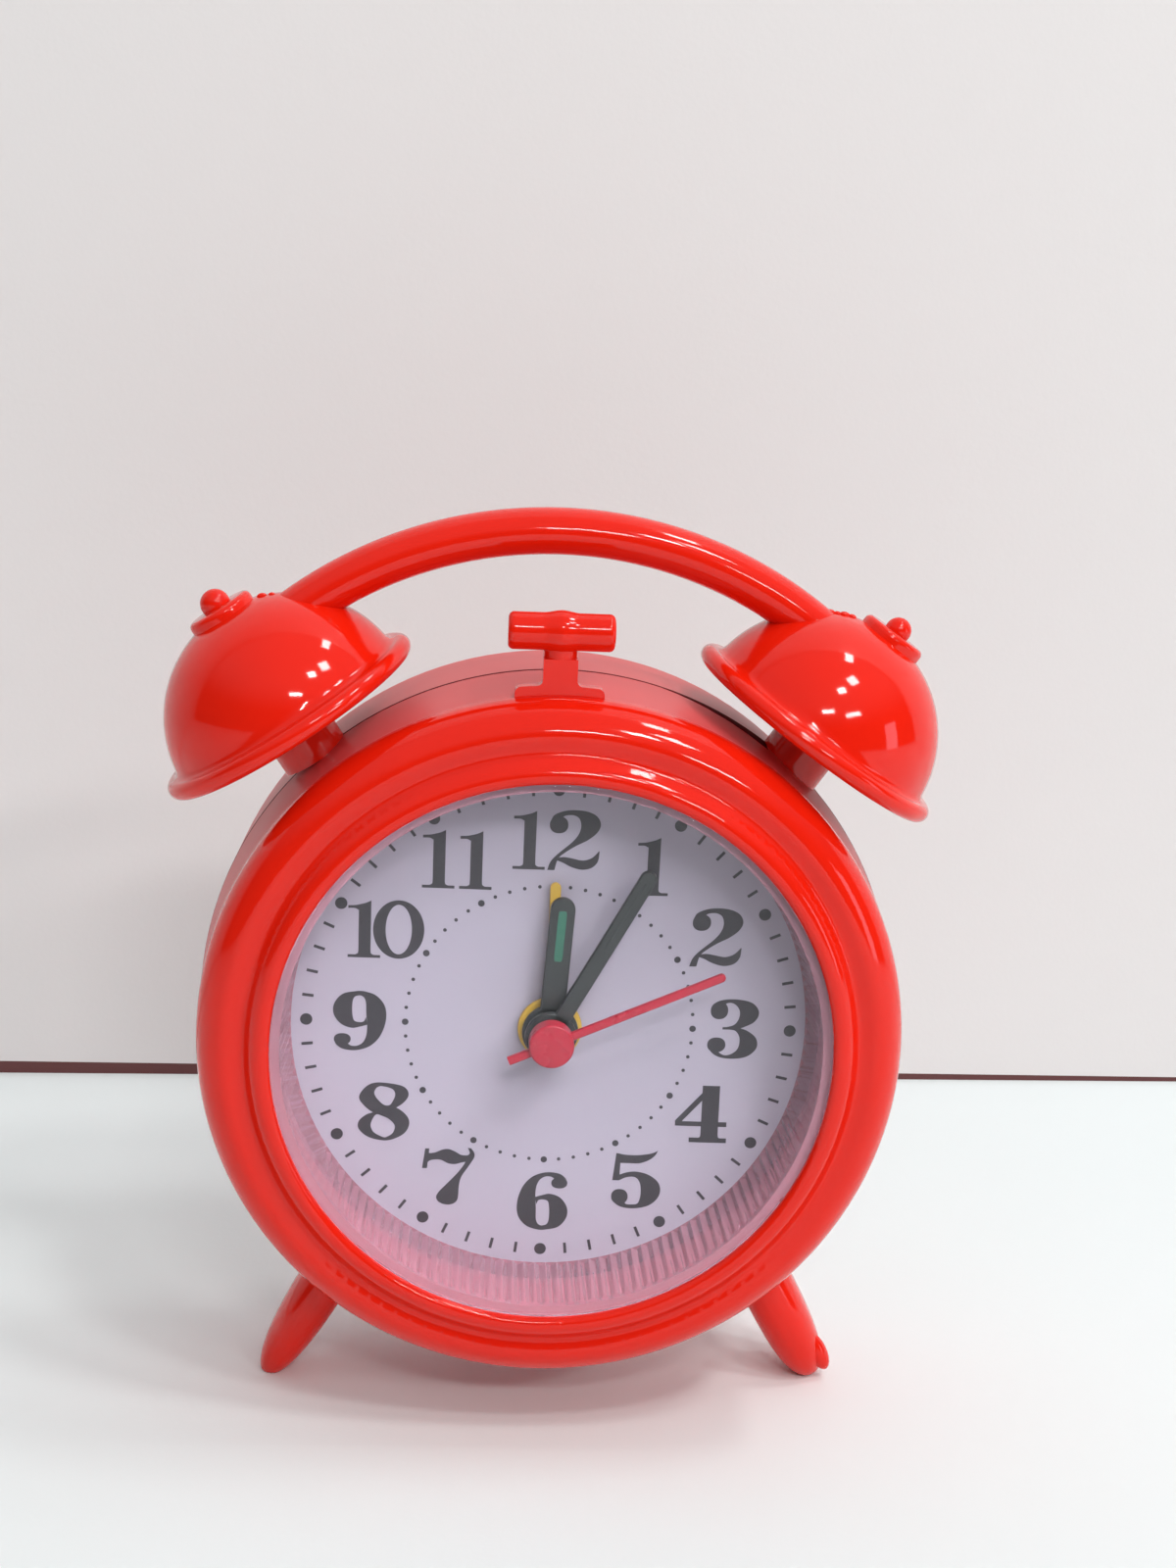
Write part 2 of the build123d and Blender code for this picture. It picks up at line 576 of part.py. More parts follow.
def movement_housing():
    """Box over the wheels with the open battery cradle below it."""
    inside_y = BOX_BACK_Y - BOX_WALL
    box = block(-BOX_HALF_X, BOX_HALF_X, BOX_FRONT_Y, BOX_BACK_Y, BOX_BOTTOM_Z, BOX_TOP_Z)
    box -= block(-BOX_HALF_X + BOX_WALL, BOX_HALF_X - BOX_WALL, BOX_FRONT_Y - 1, inside_y,
                 BOX_BOTTOM_Z + BOX_WALL, BOX_TOP_Z - BOX_WALL)
    cradle = block(*CRADLE_X, *CRADLE_Y, CRADLE_BOTTOM_Z, BOX_BOTTOM_Z + BOX_WALL)
    cradle -= block(CRADLE_X[0] + BOX_WALL, CRADLE_X[1] - BOX_WALL, CRADLE_Y[0] + BOX_WALL, CRADLE_Y[1] + 1,
                    CRADLE_BOTTOM_Z + BOX_WALL, BOX_BOTTOM_Z)
    cradle -= block(-BOX_HALF_X + BOX_WALL, BOX_HALF_X - BOX_WALL, CRADLE_Y[0] - 1, inside_y,
                    BOX_BOTTOM_Z + BOX_WALL - 0.001, BOX_TOP_Z)
    body = box + cradle
    recess = (inside_y - 1, ARBOR_Y[1] + 0.1)
    body = arbor_hole(body, (0, 0), recess, SECOND_ARBOR_R)
    for spot in (THIRD_XZ, INTER_XZ, ROTOR_XZ):
        body = arbor_hole(body, spot, recess)
    for spot in (MOTION_XZ, ALARM_XZ):
        body = arbor_hole(body, spot, (inside_y - 1, BOX_BACK_Y + 1), KNOB_ARBOR_R)
    return body


def alarm_wheel():
    """Wheel and outermost tube that carry the alarm hand."""
    m = module_of(ALARM_PINION_TEETH, ALARM_TEETH, ALARM_DIST)
    bore_r = HOUR_TUBE_R + RUN
    body = wheel(ALARM_TEETH, m, ALARM_LAYER, 0, 0, bore_r, mesh_turn(ALARM_TEETH, ALARM_AT, True))
    return body + ring(ALARM_TUBE_R, bore_r, ALARM_HAND_Y[0], ALARM_LAYER[1])


def alarm_pinion():
    """Pinion and long arbor that the alarm knob turns."""
    m = module_of(ALARM_PINION_TEETH, ALARM_TEETH, ALARM_DIST)
    body = wheel(ALARM_PINION_TEETH, m, (ALARM_LAYER[0] - 0.2, ALARM_LAYER[1] + 0.2), *ALARM_XZ, 0,
                 mesh_turn(ALARM_PINION_TEETH, ALARM_AT + HALF_TURN, False))
    return body + disc(KNOB_ARBOR_R, *KNOB_ARBOR_Y, *ALARM_XZ)


def hour_wheel():
    """Wheel and middle tube that carry the hour hand."""
    m = module_of(MOTION_PINION_TEETH, HOUR_TEETH, MOTION_DIST)
    bore_r = MINUTE_TUBE_R + RUN
    body = wheel(HOUR_TEETH, m, HOUR_LAYER, 0, 0, bore_r, mesh_turn(HOUR_TEETH, MOTION_AT, True))
    return body + ring(HOUR_TUBE_R, bore_r, HOUR_HAND_Y[0], HOUR_LAYER[1])


def motion_wheel():
    """Wheel, pinion and long arbor between the minute tube, the hour wheel and the time knob."""
    m = module_of(MINUTE_PINION_TEETH, MOTION_TEETH, MOTION_DIST)
    body = wheel(MOTION_TEETH, m, MOTION_LAYER, *MOTION_XZ, 0,
                 mesh_turn(MOTION_TEETH, MOTION_AT + HALF_TURN, True))
    m = module_of(MOTION_PINION_TEETH, HOUR_TEETH, MOTION_DIST)
    body += wheel(MOTION_PINION_TEETH, m, (HOUR_LAYER[0] - 0.1, MOTION_LAYER[0]), *MOTION_XZ, 0,
                  mesh_turn(MOTION_PINION_TEETH, MOTION_AT + HALF_TURN, False))
    return body + disc(KNOB_ARBOR_R, *KNOB_ARBOR_Y, *MOTION_XZ)


def minute_tube():
    """Tube and pinion that carry the minute hand; the centre gear grips it by friction."""
    m = module_of(MINUTE_PINION_TEETH, MOTION_TEETH, MOTION_DIST)
    bore_r = SECOND_ARBOR_R + RUN
    body = wheel(MINUTE_PINION_TEETH, m, (MOTION_LAYER[0] - 0.1, MOTION_LAYER[1] + 0.1), 0, 0, bore_r,
                 mesh_turn(MINUTE_PINION_TEETH, MOTION_AT, False))
    return body + ring(MINUTE_TUBE_R, bore_r, MINUTE_HAND_Y[0], MINUTE_TUBE_END_Y)


def centre_gear():
    """Gear that turns once an hour round the minute tube."""
    m = module_of(THIRD_PINION_TEETH, CENTRE_TEETH, THIRD_DIST)
    return wheel(CENTRE_TEETH, m, CENTRE_LAYER, 0, 0, MINUTE_TUBE_R + RUN,
                 mesh_turn(CENTRE_TEETH, THIRD_AT, True))


def third_wheel():
    """Wheel and pinion between the second wheel and the centre gear."""
    m = module_of(SECOND_PINION_TEETH, THIRD_TEETH, THIRD_DIST)
    body = wheel(THIRD_TEETH, m, THIRD_LAYER, *THIRD_XZ, 0,
                 mesh_turn(THIRD_TEETH, THIRD_AT + HALF_TURN, True))
    m = module_of(THIRD_PINION_TEETH, CENTRE_TEETH, THIRD_DIST)
    body += wheel(THIRD_PINION_TEETH, m, (CENTRE_LAYER[0] - 0.1, THIRD_LAYER[0]), *THIRD_XZ, 0,
                  mesh_turn(THIRD_PINION_TEETH, THIRD_AT + HALF_TURN, False))
    return body + disc(ARBOR_R, *ARBOR_Y, *THIRD_XZ)


def second_wheel():
    """Wheel, pinion and long arbor that carry the second hand."""
    m = module_of(INTER_PINION_TEETH, SECOND_TEETH, INTER_DIST)
    body = wheel(SECOND_TEETH, m, SECOND_LAYER, 0, 0, 0, mesh_turn(SECOND_TEETH, INTER_AT, True))
    m = module_of(SECOND_PINION_TEETH, THIRD_TEETH, THIRD_DIST)
    body += wheel(SECOND_PINION_TEETH, m, (THIRD_LAYER[0] - 0.1, SECOND_LAYER[0]), 0, 0, 0,
                  mesh_turn(SECOND_PINION_TEETH, THIRD_AT, False))
    return body + disc(SECOND_ARBOR_R, SECOND_ARBOR_TIP_Y, ARBOR_Y[1])


def intermediate_wheel():
    """Wheel and pinion between the rotor and the second wheel."""
    m = module_of(ROTOR_TEETH, INTER_TEETH, ROTOR_DIST)
    body = wheel(INTER_TEETH, m, INTER_LAYER, *INTER_XZ, 0, mesh_turn(INTER_TEETH, INTER_AT, True))
    m = module_of(INTER_PINION_TEETH, SECOND_TEETH, INTER_DIST)
    body += wheel(INTER_PINION_TEETH, m, (SECOND_LAYER[0] - 0.1, INTER_LAYER[0]), *INTER_XZ, 0,
                  mesh_turn(INTER_PINION_TEETH, INTER_AT + HALF_TURN, False))
    return body + disc(ARBOR_R, *ARBOR_Y, *INTER_XZ)


def rotor():
    """Pinion and arbor of the stepping motor."""
    m = module_of(ROTOR_TEETH, INTER_TEETH, ROTOR_DIST)
    body = wheel(ROTOR_TEETH, m, (INTER_LAYER[0] - 0.1, MAGNET_Y[0]), *ROTOR_XZ, 0,
                 mesh_turn(ROTOR_TEETH, INTER_AT + HALF_TURN, False))
    return body + disc(ARBOR_R, *ARBOR_Y, *ROTOR_XZ)


def rotor_magnet():
    """Round magnet pressed on the rotor's arbor."""
    return ring(MAGNET_R, ARBOR_R, *MAGNET_Y, *ROTOR_XZ)


def stator():
    """Iron plate that leads the coil's field round the magnet."""
    x, z = ROTOR_XZ
    half = STATOR_ARM / 2
    plate = disc(STATOR_RING_R, *STATOR_Y, x, z)
    low = COIL_Z[0] - 1.6
    high = COIL_Z[1] + 1.6
    plate += block(COIL_X - half, x, *STATOR_Y, low - half, low + half)
    plate += block(x - half, x + half, *STATOR_Y, z, high + half)
    plate += block(COIL_X - half, x, *STATOR_Y, high - half, high + half)
    plate += block(COIL_X - half, COIL_X + half, *STATOR_Y, low, high)
    return plate - disc(MAGNET_R + 0.4, STATOR_Y[0] - 1, STATOR_Y[1] + 1, x, z)


def coil():
    """Winding round the stator's straight leg."""
    height = COIL_Z[1] - COIL_Z[0]
    middle = (COIL_Z[0] + COIL_Z[1]) / 2
    winding = Pos(COIL_X, sum(STATOR_Y) / 2, middle) * Cylinder(COIL_R, height)
    half = STATOR_ARM / 2
    return winding - block(COIL_X - half, COIL_X + half, *STATOR_Y, COIL_Z[0] - 1, COIL_Z[1] + 1)


def circuit_board():
    """Small board in the top of the movement box."""
    return block(*BOARD_X, *BOARD_Y, *BOARD_Z)


def quartz_crystal():
    """Crystal can lying on the board."""
    x, z = CRYSTAL_AT
    return Pos(x, BOARD_Y[1] + CRYSTAL_R, z) * Rot(0, 90, 0) * Cylinder(CRYSTAL_R, CRYSTAL_LEN)


def buzzer():
    """Round buzzer glued inside the back wall behind the sound holes."""
    inside_y = BACK_Y - BACK_WALL
    return disc(BUZZER_R, inside_y - BUZZER_T, inside_y, *buzzer_spot())


# ================================================================ battery bay
def battery():
    """AA cell lying across the clock, nub to the right."""
    right = CRADLE_X[1] - BOX_WALL - CONTACT_T
    body_len = BATTERY_LEN - BATTERY_NUB_H
    body = Pos(right - BATTERY_NUB_H - body_len / 2, BATTERY_Y, BATTERY_Z) * Rot(0, 90, 0)
    nub = Pos(right - BATTERY_NUB_H / 2, BATTERY_Y, BATTERY_Z) * Rot(0, 90, 0)
    return body * Cylinder(BATTERY_R, body_len) + nub * Cylinder(BATTERY_NUB_R, BATTERY_NUB_H)


def contact_positive():
    """Flat plate the nub presses on."""
    x1 = CRADLE_X[1] - BOX_WALL
    return block(x1 - CONTACT_T, x1, BATTERY_Y - CONTACT_HALF, BATTERY_Y + CONTACT_HALF,
                 BATTERY_Z - CONTACT_HALF, BATTERY_Z + CONTACT_HALF)


def contact_negative():
    """Plate with the coiled spring that presses the cell to the right."""
    x0 = CRADLE_X[0] + BOX_WALL
    plate = block(x0, x0 + CONTACT_T, BATTERY_Y - CONTACT_HALF, BATTERY_Y + CONTACT_HALF,
                  BATTERY_Z - CONTACT_HALF, BATTERY_Z + CONTACT_HALF)
    cell_end = CRADLE_X[1] - BOX_WALL - CONTACT_T - BATTERY_LEN
    start = x0 + CONTACT_T + SPRING_WIRE_R * 0.7
    height = cell_end - SPRING_WIRE_R - start
    path = Helix(height / SPRING_TURNS, height, SPRING_R)
    section = Plane(path @ 0, z_dir=path % 0) * Circle(SPRING_WIRE_R)
    spring = sweep(section, path=path)
    return plate + Pos(start, BATTERY_Y, BATTERY_Z) * Rot(0, 90, 0) * spring


def battery_door():
    """Lift-off door with grip ridges and two hooks."""
    y0 = BACK_Y - DOOR_T
    door = block(-DOOR_HALF_X, DOOR_HALF_X, y0, BACK_Y, BATTERY_Z - DOOR_HALF_Z, BATTERY_Z + DOOR_HALF_Z)
    for i in range(4):
        x = DOOR_HALF_X - 3.0 - 1.8 * i
        door += block(x - 0.45, x + 0.45, BACK_Y - 0.1, BACK_Y + 0.5, BATTERY_Z - 4, BATTERY_Z + 4)
    return door


# ================================================================ back controls
def knob(spot):
    """Fluted knob pressed on its arbor."""
    x, z = spot
    body = disc(KNOB_R, KNOB_FRONT_Y, KNOB_BACK_Y, x, z)
    body = chamfer(body.edges().filter_by(GeomType.CIRCLE).sort_by(Axis.Y)[-1], 0.6)
    for i in range(KNOB_FLUTES):
        dx, dz = at(KNOB_R + 0.25, 360 * i / KNOB_FLUTES)
        body -= disc(0.6, KNOB_FRONT_Y - 1, KNOB_BACK_Y + 1, x + dx, z + dz)
    return body - disc(KNOB_ARBOR_R, KNOB_FRONT_Y - 1, KNOB_ARBOR_Y[1], x, z)


def alarm_switch():
    """Slider: inner plate, stem through the slot and outer thumb pad with two ridges."""
    x, z = SWITCH_AT
    x -= SWITCH_TRAVEL / 2
    inside_y = BACK_Y - BACK_WALL
    w, h = SWITCH_STEM
    slider = block(x - w / 2 - 1, x + w / 2 + 1, inside_y - 1.1, inside_y - 0.2,
                   z - h / 2 - 1, z + h / 2 + 1)
    slider += block(x - w / 2, x + w / 2, inside_y - 0.3, BACK_Y + 1.6, z - h / 2, z + h / 2)
    for dx in (-1.2, 1.2):
        slider += block(x + dx - 0.4, x + dx + 0.4, BACK_Y + 1.5, BACK_Y + 2.1, z - h / 2, z + h / 2)
    return slider


def case_screws():
    """Four pan-head screws from the back into the front bosses."""
    screws = []
    for x, z in screw_spots():
        screw = disc(SCREW_R, SCREW_TIP_Y, SCREW_SEAT_Y, x, z)
        screw += disc(SCREW_HEAD_R, SCREW_SEAT_Y, SCREW_SEAT_Y + SCREW_HEAD_H, x, z)
        slot = block(x - 1.3, x + 1.3, SCREW_SEAT_Y + 1.0, SCREW_SEAT_Y + 2, z - 0.25, z + 0.25)
        screws.append(screw - slot)
    return Compound(screws)


# ================================================================ write-out
def halves(name, whole):
    """Front and rear halves of something that the seam runs through."""
    return {name + "_front": whole & front_half(), name + "_rear": whole & rear_half()}


def all_parts():
    """Every piece by node name, in the dial frame."""
    parts = {"front_shell": front_shell(), "rear_shell": rear_shell(), "hammer": hammer()}
    parts.update(halves("bell_left", bell(-1)))
    parts.update(halves("bell_right", bell(1)))
    parts.update(halves("handle", handle()))
    parts.update(halves("foot_left", foot(-1)))
    parts.update(halves("foot_right", foot(1)))
    for make in (lens, dial, alarm_hand, hour_hand, minute_hand, second_hand, movement_front_plate,
                 movement_middle_plate, movement_housing, alarm_wheel, alarm_pinion, hour_wheel,
                 motion_wheel, minute_tube, centre_gear, third_wheel, second_wheel,
                 intermediate_wheel, rotor, rotor_magnet, stator, coil, circuit_board,
                 quartz_crystal, buzzer, battery, contact_positive, contact_negative,
                 battery_door, alarm_switch, case_screws):
        parts[make.__name__] = make()
    parts["time_knob"] = knob(MOTION_XZ)
    parts["alarm_knob"] = knob(ALARM_XZ)
    return parts


for node, piece in all_parts().items():
    export_step(Pos(*ROW_SHIFT) * piece, f"parts/{node}.step")
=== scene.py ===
"""Looks of a small twin-bell style quartz alarm clock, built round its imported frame.

Shapes are worked out in the dial frame: millimetres from the middle of the dial's printed face, x to
the viewer's right, y towards the back of the clock and z up. DialFrame turns them into metres in the
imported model's own frame, so every piece lands where the solids are.
"""

import logging
from dataclasses import dataclass, field
from enum import Enum
from math import cos, pi, radians, sin

import bmesh
import bpy
import numpy as np
from mathutils import Matrix, Vector


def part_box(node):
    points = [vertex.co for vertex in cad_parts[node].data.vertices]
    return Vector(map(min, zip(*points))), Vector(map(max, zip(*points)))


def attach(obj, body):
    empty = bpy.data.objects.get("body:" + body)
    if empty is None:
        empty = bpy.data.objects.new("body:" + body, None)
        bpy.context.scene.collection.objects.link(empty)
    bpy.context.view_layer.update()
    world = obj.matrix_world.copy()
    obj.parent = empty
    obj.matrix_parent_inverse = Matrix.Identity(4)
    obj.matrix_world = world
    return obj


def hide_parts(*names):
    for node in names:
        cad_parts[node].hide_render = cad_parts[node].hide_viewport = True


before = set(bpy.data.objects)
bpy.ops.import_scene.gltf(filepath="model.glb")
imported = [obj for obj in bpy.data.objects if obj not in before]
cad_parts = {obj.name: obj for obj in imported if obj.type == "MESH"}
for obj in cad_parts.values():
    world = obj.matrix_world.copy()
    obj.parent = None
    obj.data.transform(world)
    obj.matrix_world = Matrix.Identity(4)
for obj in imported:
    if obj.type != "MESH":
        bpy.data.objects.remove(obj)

Array = np.ndarray
Colour = tuple[float, float, float]
Point2 = tuple[float, float]
Point3 = tuple[float, float, float]

MM = 0.001
LOG = logging.getLogger("clock")
WHITE: Colour = (1.0, 1.0, 1.0)
WELD, SLIVER = 1e-7, 1e-8  # metres within which points are one, and an edge counts as nothing
DRUM_STEPS, BELL_STEPS, SMALL_STEPS = 256, 192, 64  # points round the drum, a bell and smaller shapes
LUMP_RINGS, LUMP_STEPS = 13, 20
STROKE_STEPS, BALL_STEPS, BALL_SQUARENESS = 8, 28, 2.2


# ------------------------------------------------------------------ names
class Body(Enum):
    """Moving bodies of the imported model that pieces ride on."""

    CASE = "case"
    SECOND = "second_set"
    MINUTE = "minute_set"
    HOUR = "hour_set"
    ALARM = "alarm_set"


class Slot(Enum):
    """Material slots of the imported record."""

    RED_SHELL = "red_shell"
    LENS = "lens_clear"
    DIAL = "dial_face"
    HAND_YELLOW = "hand_yellow"
    HAND_BLACK = "hand_black"
    HAND_RED = "hand_red"


class Side(Enum):
    """Side of the clock as the viewer sees it, and the sign of x there."""

    LEFT = -1
    RIGHT = 1


class Ends(Enum):
    """How the first and last rows of a surface grid are closed."""

    OPEN = "open"
    CAPPED = "capped"
    JOINED = "joined"


# ------------------------------------------------------------------ finishes
MIX_A, MIX_B, MIX_RESULT = 6, 7, 2  # the Mix node's colour sockets
SCATTER_RADIUS = (2.0 * MM, 0.5 * MM, 0.3 * MM)
BLOTCH_DETAIL, GRAIN_DETAIL = 3.0, 2.0  # octaves of finer noise


def fill(tree: bpy.types.NodeTree, node: bpy.types.Node, inputs: dict[str | int, object]) -> None:
    """Set a node's inputs.

    Args:
        tree: The node's tree.
        node: The node.
        inputs: By name or number, an input's value or the socket that it is linked from.
    """
    for key, value in inputs.items():
        if isinstance(value, bpy.types.NodeSocket):
            tree.links.new(value, node.inputs[key])
        else:
            node.inputs[key].default_value = value


def add_node(tree: bpy.types.NodeTree, kind: str, inputs: dict[str | int, object] | None = None,
             **settings: str) -> bpy.types.Node:
    """Add a node with its settings and inputs.

    Args:
        tree: Node tree to add to.
        kind: The node's type, without the word ShaderNode that it starts with.
        inputs: What fill writes on the inputs.
        settings: The node's own settings, by name.

    Returns:
        The node.
    """
    node = tree.nodes.new(f"ShaderNode{kind}")
    for name, value in settings.items():
        setattr(node, name, value)
    fill(tree, node, inputs or {})
    return node


@dataclass(frozen=True)
class Finish:
    """An opaque finish: a base colour with soft mottling, uneven gloss and a fine relief."""

    name: str
    colour: Colour
    roughness: float
    metallic: float = 0.0
    specular: float = 0.5
    mottle_mm: float = 4.0
    colour_spread: float = 0.04
    gloss_spread: float = 0.04
    relief_mm: float = 0.9
    relief_depth: float = 0.02
    subsurface: float = 0.0
    alpha: float = 1.0

    def material(self) -> bpy.types.Material:
        """Build the node material once, or find it again.

        Returns:
            The Blender material of this finish.
        """
        found = bpy.data.materials.get(self.name)
        if found:
            return found
        material = bpy.data.materials.new(self.name)
        material.use_nodes = True
        self.wire(material.node_tree, material.node_tree.nodes["Principled BSDF"])
        return material

    def noise(self, tree: bpy.types.NodeTree, size_mm: float, detail: float) -> bpy.types.NodeSocket:
        """Add a noise field on Object coordinates.

        Args:
            tree: Node tree to add to.
            size_mm: Size of one blotch in millimetres.
            detail: Octaves of finer noise.

        Returns:
            The socket of its value.
        """
        place = add_node(tree, "TexCoord").outputs["Object"]
        scale = 1.0 / (size_mm * MM)
        return add_node(tree, "TexNoise", {"Vector": place, "Scale": scale, "Detail": detail}).outputs["Fac"]

    def wire(self, tree: bpy.types.NodeTree, shader: bpy.types.Node) -> None:
        """Write constants on the shader's own sockets, and drive colour, gloss and relief from noise.

        Args:
            tree: Node tree of the material.
            shader: The Principled node.
        """
        blotches = self.noise(tree, self.mottle_mm, BLOTCH_DETAIL)
        dark, light = ((*(min(1.0, channel * factor) for channel in self.colour), 1.0)
                       for factor in (1.0 - self.colour_spread, 1.0 + self.colour_spread))
        tint = add_node(tree, "Mix", {"Factor": blotches, MIX_A: dark, MIX_B: light}, data_type="RGBA")
        gloss = add_node(tree, "MapRange", {
            "Value": blotches, "To Min": max(0.0, self.roughness - self.gloss_spread),
            "To Max": self.roughness + self.gloss_spread})
        grain = self.noise(tree, self.relief_mm, GRAIN_DETAIL)
        bump = add_node(tree, "Bump", {"Strength": 1.0, "Distance": self.relief_depth * MM, "Height": grain})
        fill(tree, shader, {
            "Metallic": self.metallic, "Specular IOR Level": self.specular, "Alpha": self.alpha,
            "Base Color": tint.outputs[MIX_RESULT], "Roughness": gloss.outputs["Result"],
            "Normal": bump.outputs["Normal"]})
        if self.subsurface:
            fill(tree, shader, {"Subsurface Weight": self.subsurface, "Subsurface Scale": 1.0,
                                "Subsurface Radius": SCATTER_RADIUS})


@dataclass(frozen=True)
class DrumFinish(Finish):
    """Moulded plastic that is polished in front and behind, and matt round the drum's wall, where a lighter
    pink is painted on as a painted sheen of the pale room.
    """

    # the painted sheen colour follows the same ramps as the matt roughness
    matt_and_sheen_depths_mm: tuple[Point2, Point2] = ((-6.5, -5.0), (24.0, 21.5))  # where matt starts and is full
    matt_more: float = 0.3  # roughness that the wall has on top of the polished front's
    # painted sheen: lighter pink standing in for the pale room's reflection on the drum's wall
    sheen_paint_colour: Colour = (0.70, 0.085, 0.088)

    def matt_and_sheen_share(self, tree: bpy.types.NodeTree) -> bpy.types.NodeSocket:
        """How matt the surface is at each depth, and how much painted sheen colour it takes: the lesser of
        one ramp in front and one behind.

        Args:
            tree: Node tree of the material.

        Returns:
            The socket that holds the share.
        """
        place = add_node(tree, "TexCoord").outputs["Object"]
        depth = add_node(tree, "SeparateXYZ", {0: place}).outputs["Y"]
        ramps = [add_node(tree, "MapRange", {"Value": depth, "From Min": DIAL.origin[1] + start * MM,
                                             "From Max": DIAL.origin[1] + full * MM}).outputs["Result"]
                 for start, full in self.matt_and_sheen_depths_mm]
        return add_node(tree, "Math", dict(enumerate(ramps)), operation="MINIMUM").outputs["Value"]

    def wire(self, tree: bpy.types.NodeTree, shader: bpy.types.Node) -> None:
        """Add the wall's roughness and painted sheen colour to what every finish has.

        Args:
            tree: Node tree of the material.
            shader: The Principled node.
        """
        super().wire(tree, shader)
        share = self.matt_and_sheen_share(tree)
        gloss, colour = (shader.inputs[name].links[0].from_socket for name in ("Roughness", "Base Color"))
        rough = add_node(tree, "Math", {0: share, 1: self.matt_more, 2: gloss}, operation="MULTIPLY_ADD")
        # painted sheen: the wall's base colour turns to the lighter pink that stands in for the pale room's
        # reflection
        tint = add_node(tree, "Mix", {"Factor": share, MIX_A: colour, MIX_B: (*self.sheen_paint_colour, 1.0)},
                        data_type="RGBA")
        fill(tree, shader, {"Roughness": rough.outputs["Value"], "Base Color": tint.outputs[MIX_RESULT]})


def open_where(tree: bpy.types.NodeTree, when: bpy.types.NodeSocket, tint: Colour) -> None:
    """Make a surface an empty, tinted pane wherever a socket reads one.

    Args:
        tree: Node tree of the material.
        when: The socket.
        tint: Colour that the empty pane gives to what passes.
    """
    pane = add_node(tree, "BsdfTransparent", {"Color": (*tint, 1.0)})
    solid = tree.nodes["Principled BSDF"].outputs["BSDF"]
    chosen = add_node(tree, "MixShader", {0: when, 1: solid, 2: pane.outputs["BSDF"]})
    fill(tree, tree.nodes["Material Output"], {"Surface": chosen.outputs["Shader"]})


@dataclass(frozen=True)
class OneSidedFinish(Finish):
    """Stage surface that is solid from its front and open from its back, so that it hides nothing."""

    def wire(self, tree: bpy.types.NodeTree, shader: bpy.types.Node) -> None:
        """Open the back of what every finish has."""
        super().wire(tree, shader)
        open_where(tree, add_node(tree, "NewGeometry").outputs["Backfacing"], WHITE)


@dataclass(frozen=True)
class ClearFinish(Finish):
    """Clear moulded plastic: glass to the eye, a faint tint to the lamp rays that it lets through."""

    ior: float = 1.28
    shadow_tint: Colour = (0.96, 0.95, 0.97)

    def wire(self, tree: bpy.types.NodeTree, shader: bpy.types.Node) -> None:
        """Make what every finish has clear, and open it to lamp rays.

        Args:
            tree: Node tree of the material.
            shader: The Principled node.
        """
        super().wire(tree, shader)
        fill(tree, shader, {"Transmission Weight": 1.0, "IOR": self.ior})
        open_where(tree, add_node(tree, "LightPath").outputs["Is Shadow Ray"], self.shadow_tint)


RED: Colour = (0.78, 0.013, 0.003)
POLISHED: dict[str, float] = {"specular": 0.36, "mottle_mm": 9.0, "colour_spread": 0.05,
                             "gloss_spread": 0.02, "relief_mm": 2.6, "relief_depth": 0.006}
RED_PLASTIC = Finish("red_moulded_plastic", RED, 0.07, **POLISHED)
RED_DRUM = DrumFinish("red_drum_plastic", RED, 0.07, **POLISHED)
# painted shade for the seam's groove and for the gap beside the right bell's neck
SEAM_SHADE = Finish("seam_shade", (0.10, 0.004, 0.006), 0.8, specular=0.1, relief_mm=0.5)
CLEAR_PLASTIC = ClearFinish("clear_moulded_plastic", (0.985, 0.975, 0.985), 0.02, specular=0.2,
                            colour_spread=0.004, gloss_spread=0.01, relief_mm=3.0, relief_depth=0.002)
# its pink base colour is a painted reflection of the red moulding, seen through the clear wall and reflected
# in it
RIBBED_WALL = Finish("ribbed_clear_wall", (0.61, 0.30, 0.38), 0.16, colour_spread=0.03, relief_mm=0.8,
                     relief_depth=0.006, alpha=0.5)
DIAL_CARD = Finish("dial_card", (0.425, 0.412, 0.50), 0.42, colour_spread=0.015, mottle_mm=14.0,
                   relief_mm=0.3, relief_depth=0.004)
DIAL_INK = Finish("dial_ink", (0.034, 0.032, 0.042), 0.45, colour_spread=0.06, relief_mm=0.3)
HAND_YELLOW = Finish("yellow_hand_plastic", (0.56, 0.37, 0.045), 0.35, relief_mm=0.8)
HAND_BLACK = Finish("black_hand_plastic", (0.026, 0.031, 0.033), 0.30, relief_mm=0.8)
HAND_RED = Finish("red_hand_plastic", (0.40, 0.012, 0.035), 0.28, relief_mm=0.8)
LUME = Finish("lume_fill", (0.032, 0.155, 0.105), 0.6, colour_spread=0.12, mottle_mm=0.6, relief_mm=0.15)
MOVEMENT_PLASTIC = Finish("movement_black", (0.022, 0.022, 0.024), 0.45, relief_mm=0.4)
WHEEL_PLASTIC = Finish("wheel_acetal", (0.74, 0.73, 0.68), 0.38, subsurface=0.1, relief_mm=0.5)
MAGNET = Finish("magnet_ferrite", (0.05, 0.05, 0.055), 0.5, metallic=0.4, relief_mm=0.2)
IRON = Finish("stamped_iron", (0.42, 0.42, 0.43), 0.36, metallic=1.0, relief_mm=0.25)
COPPER = Finish("enamelled_wire", (0.55, 0.22, 0.09), 0.32, metallic=1.0, relief_mm=0.12)
BOARD = Finish("board_lacquer", (0.05, 0.19, 0.07), 0.35, colour_spread=0.15, relief_mm=0.5)
BUZZER_CASE = Finish("buzzer_black", (0.02, 0.02, 0.02), 0.5, relief_mm=0.4)
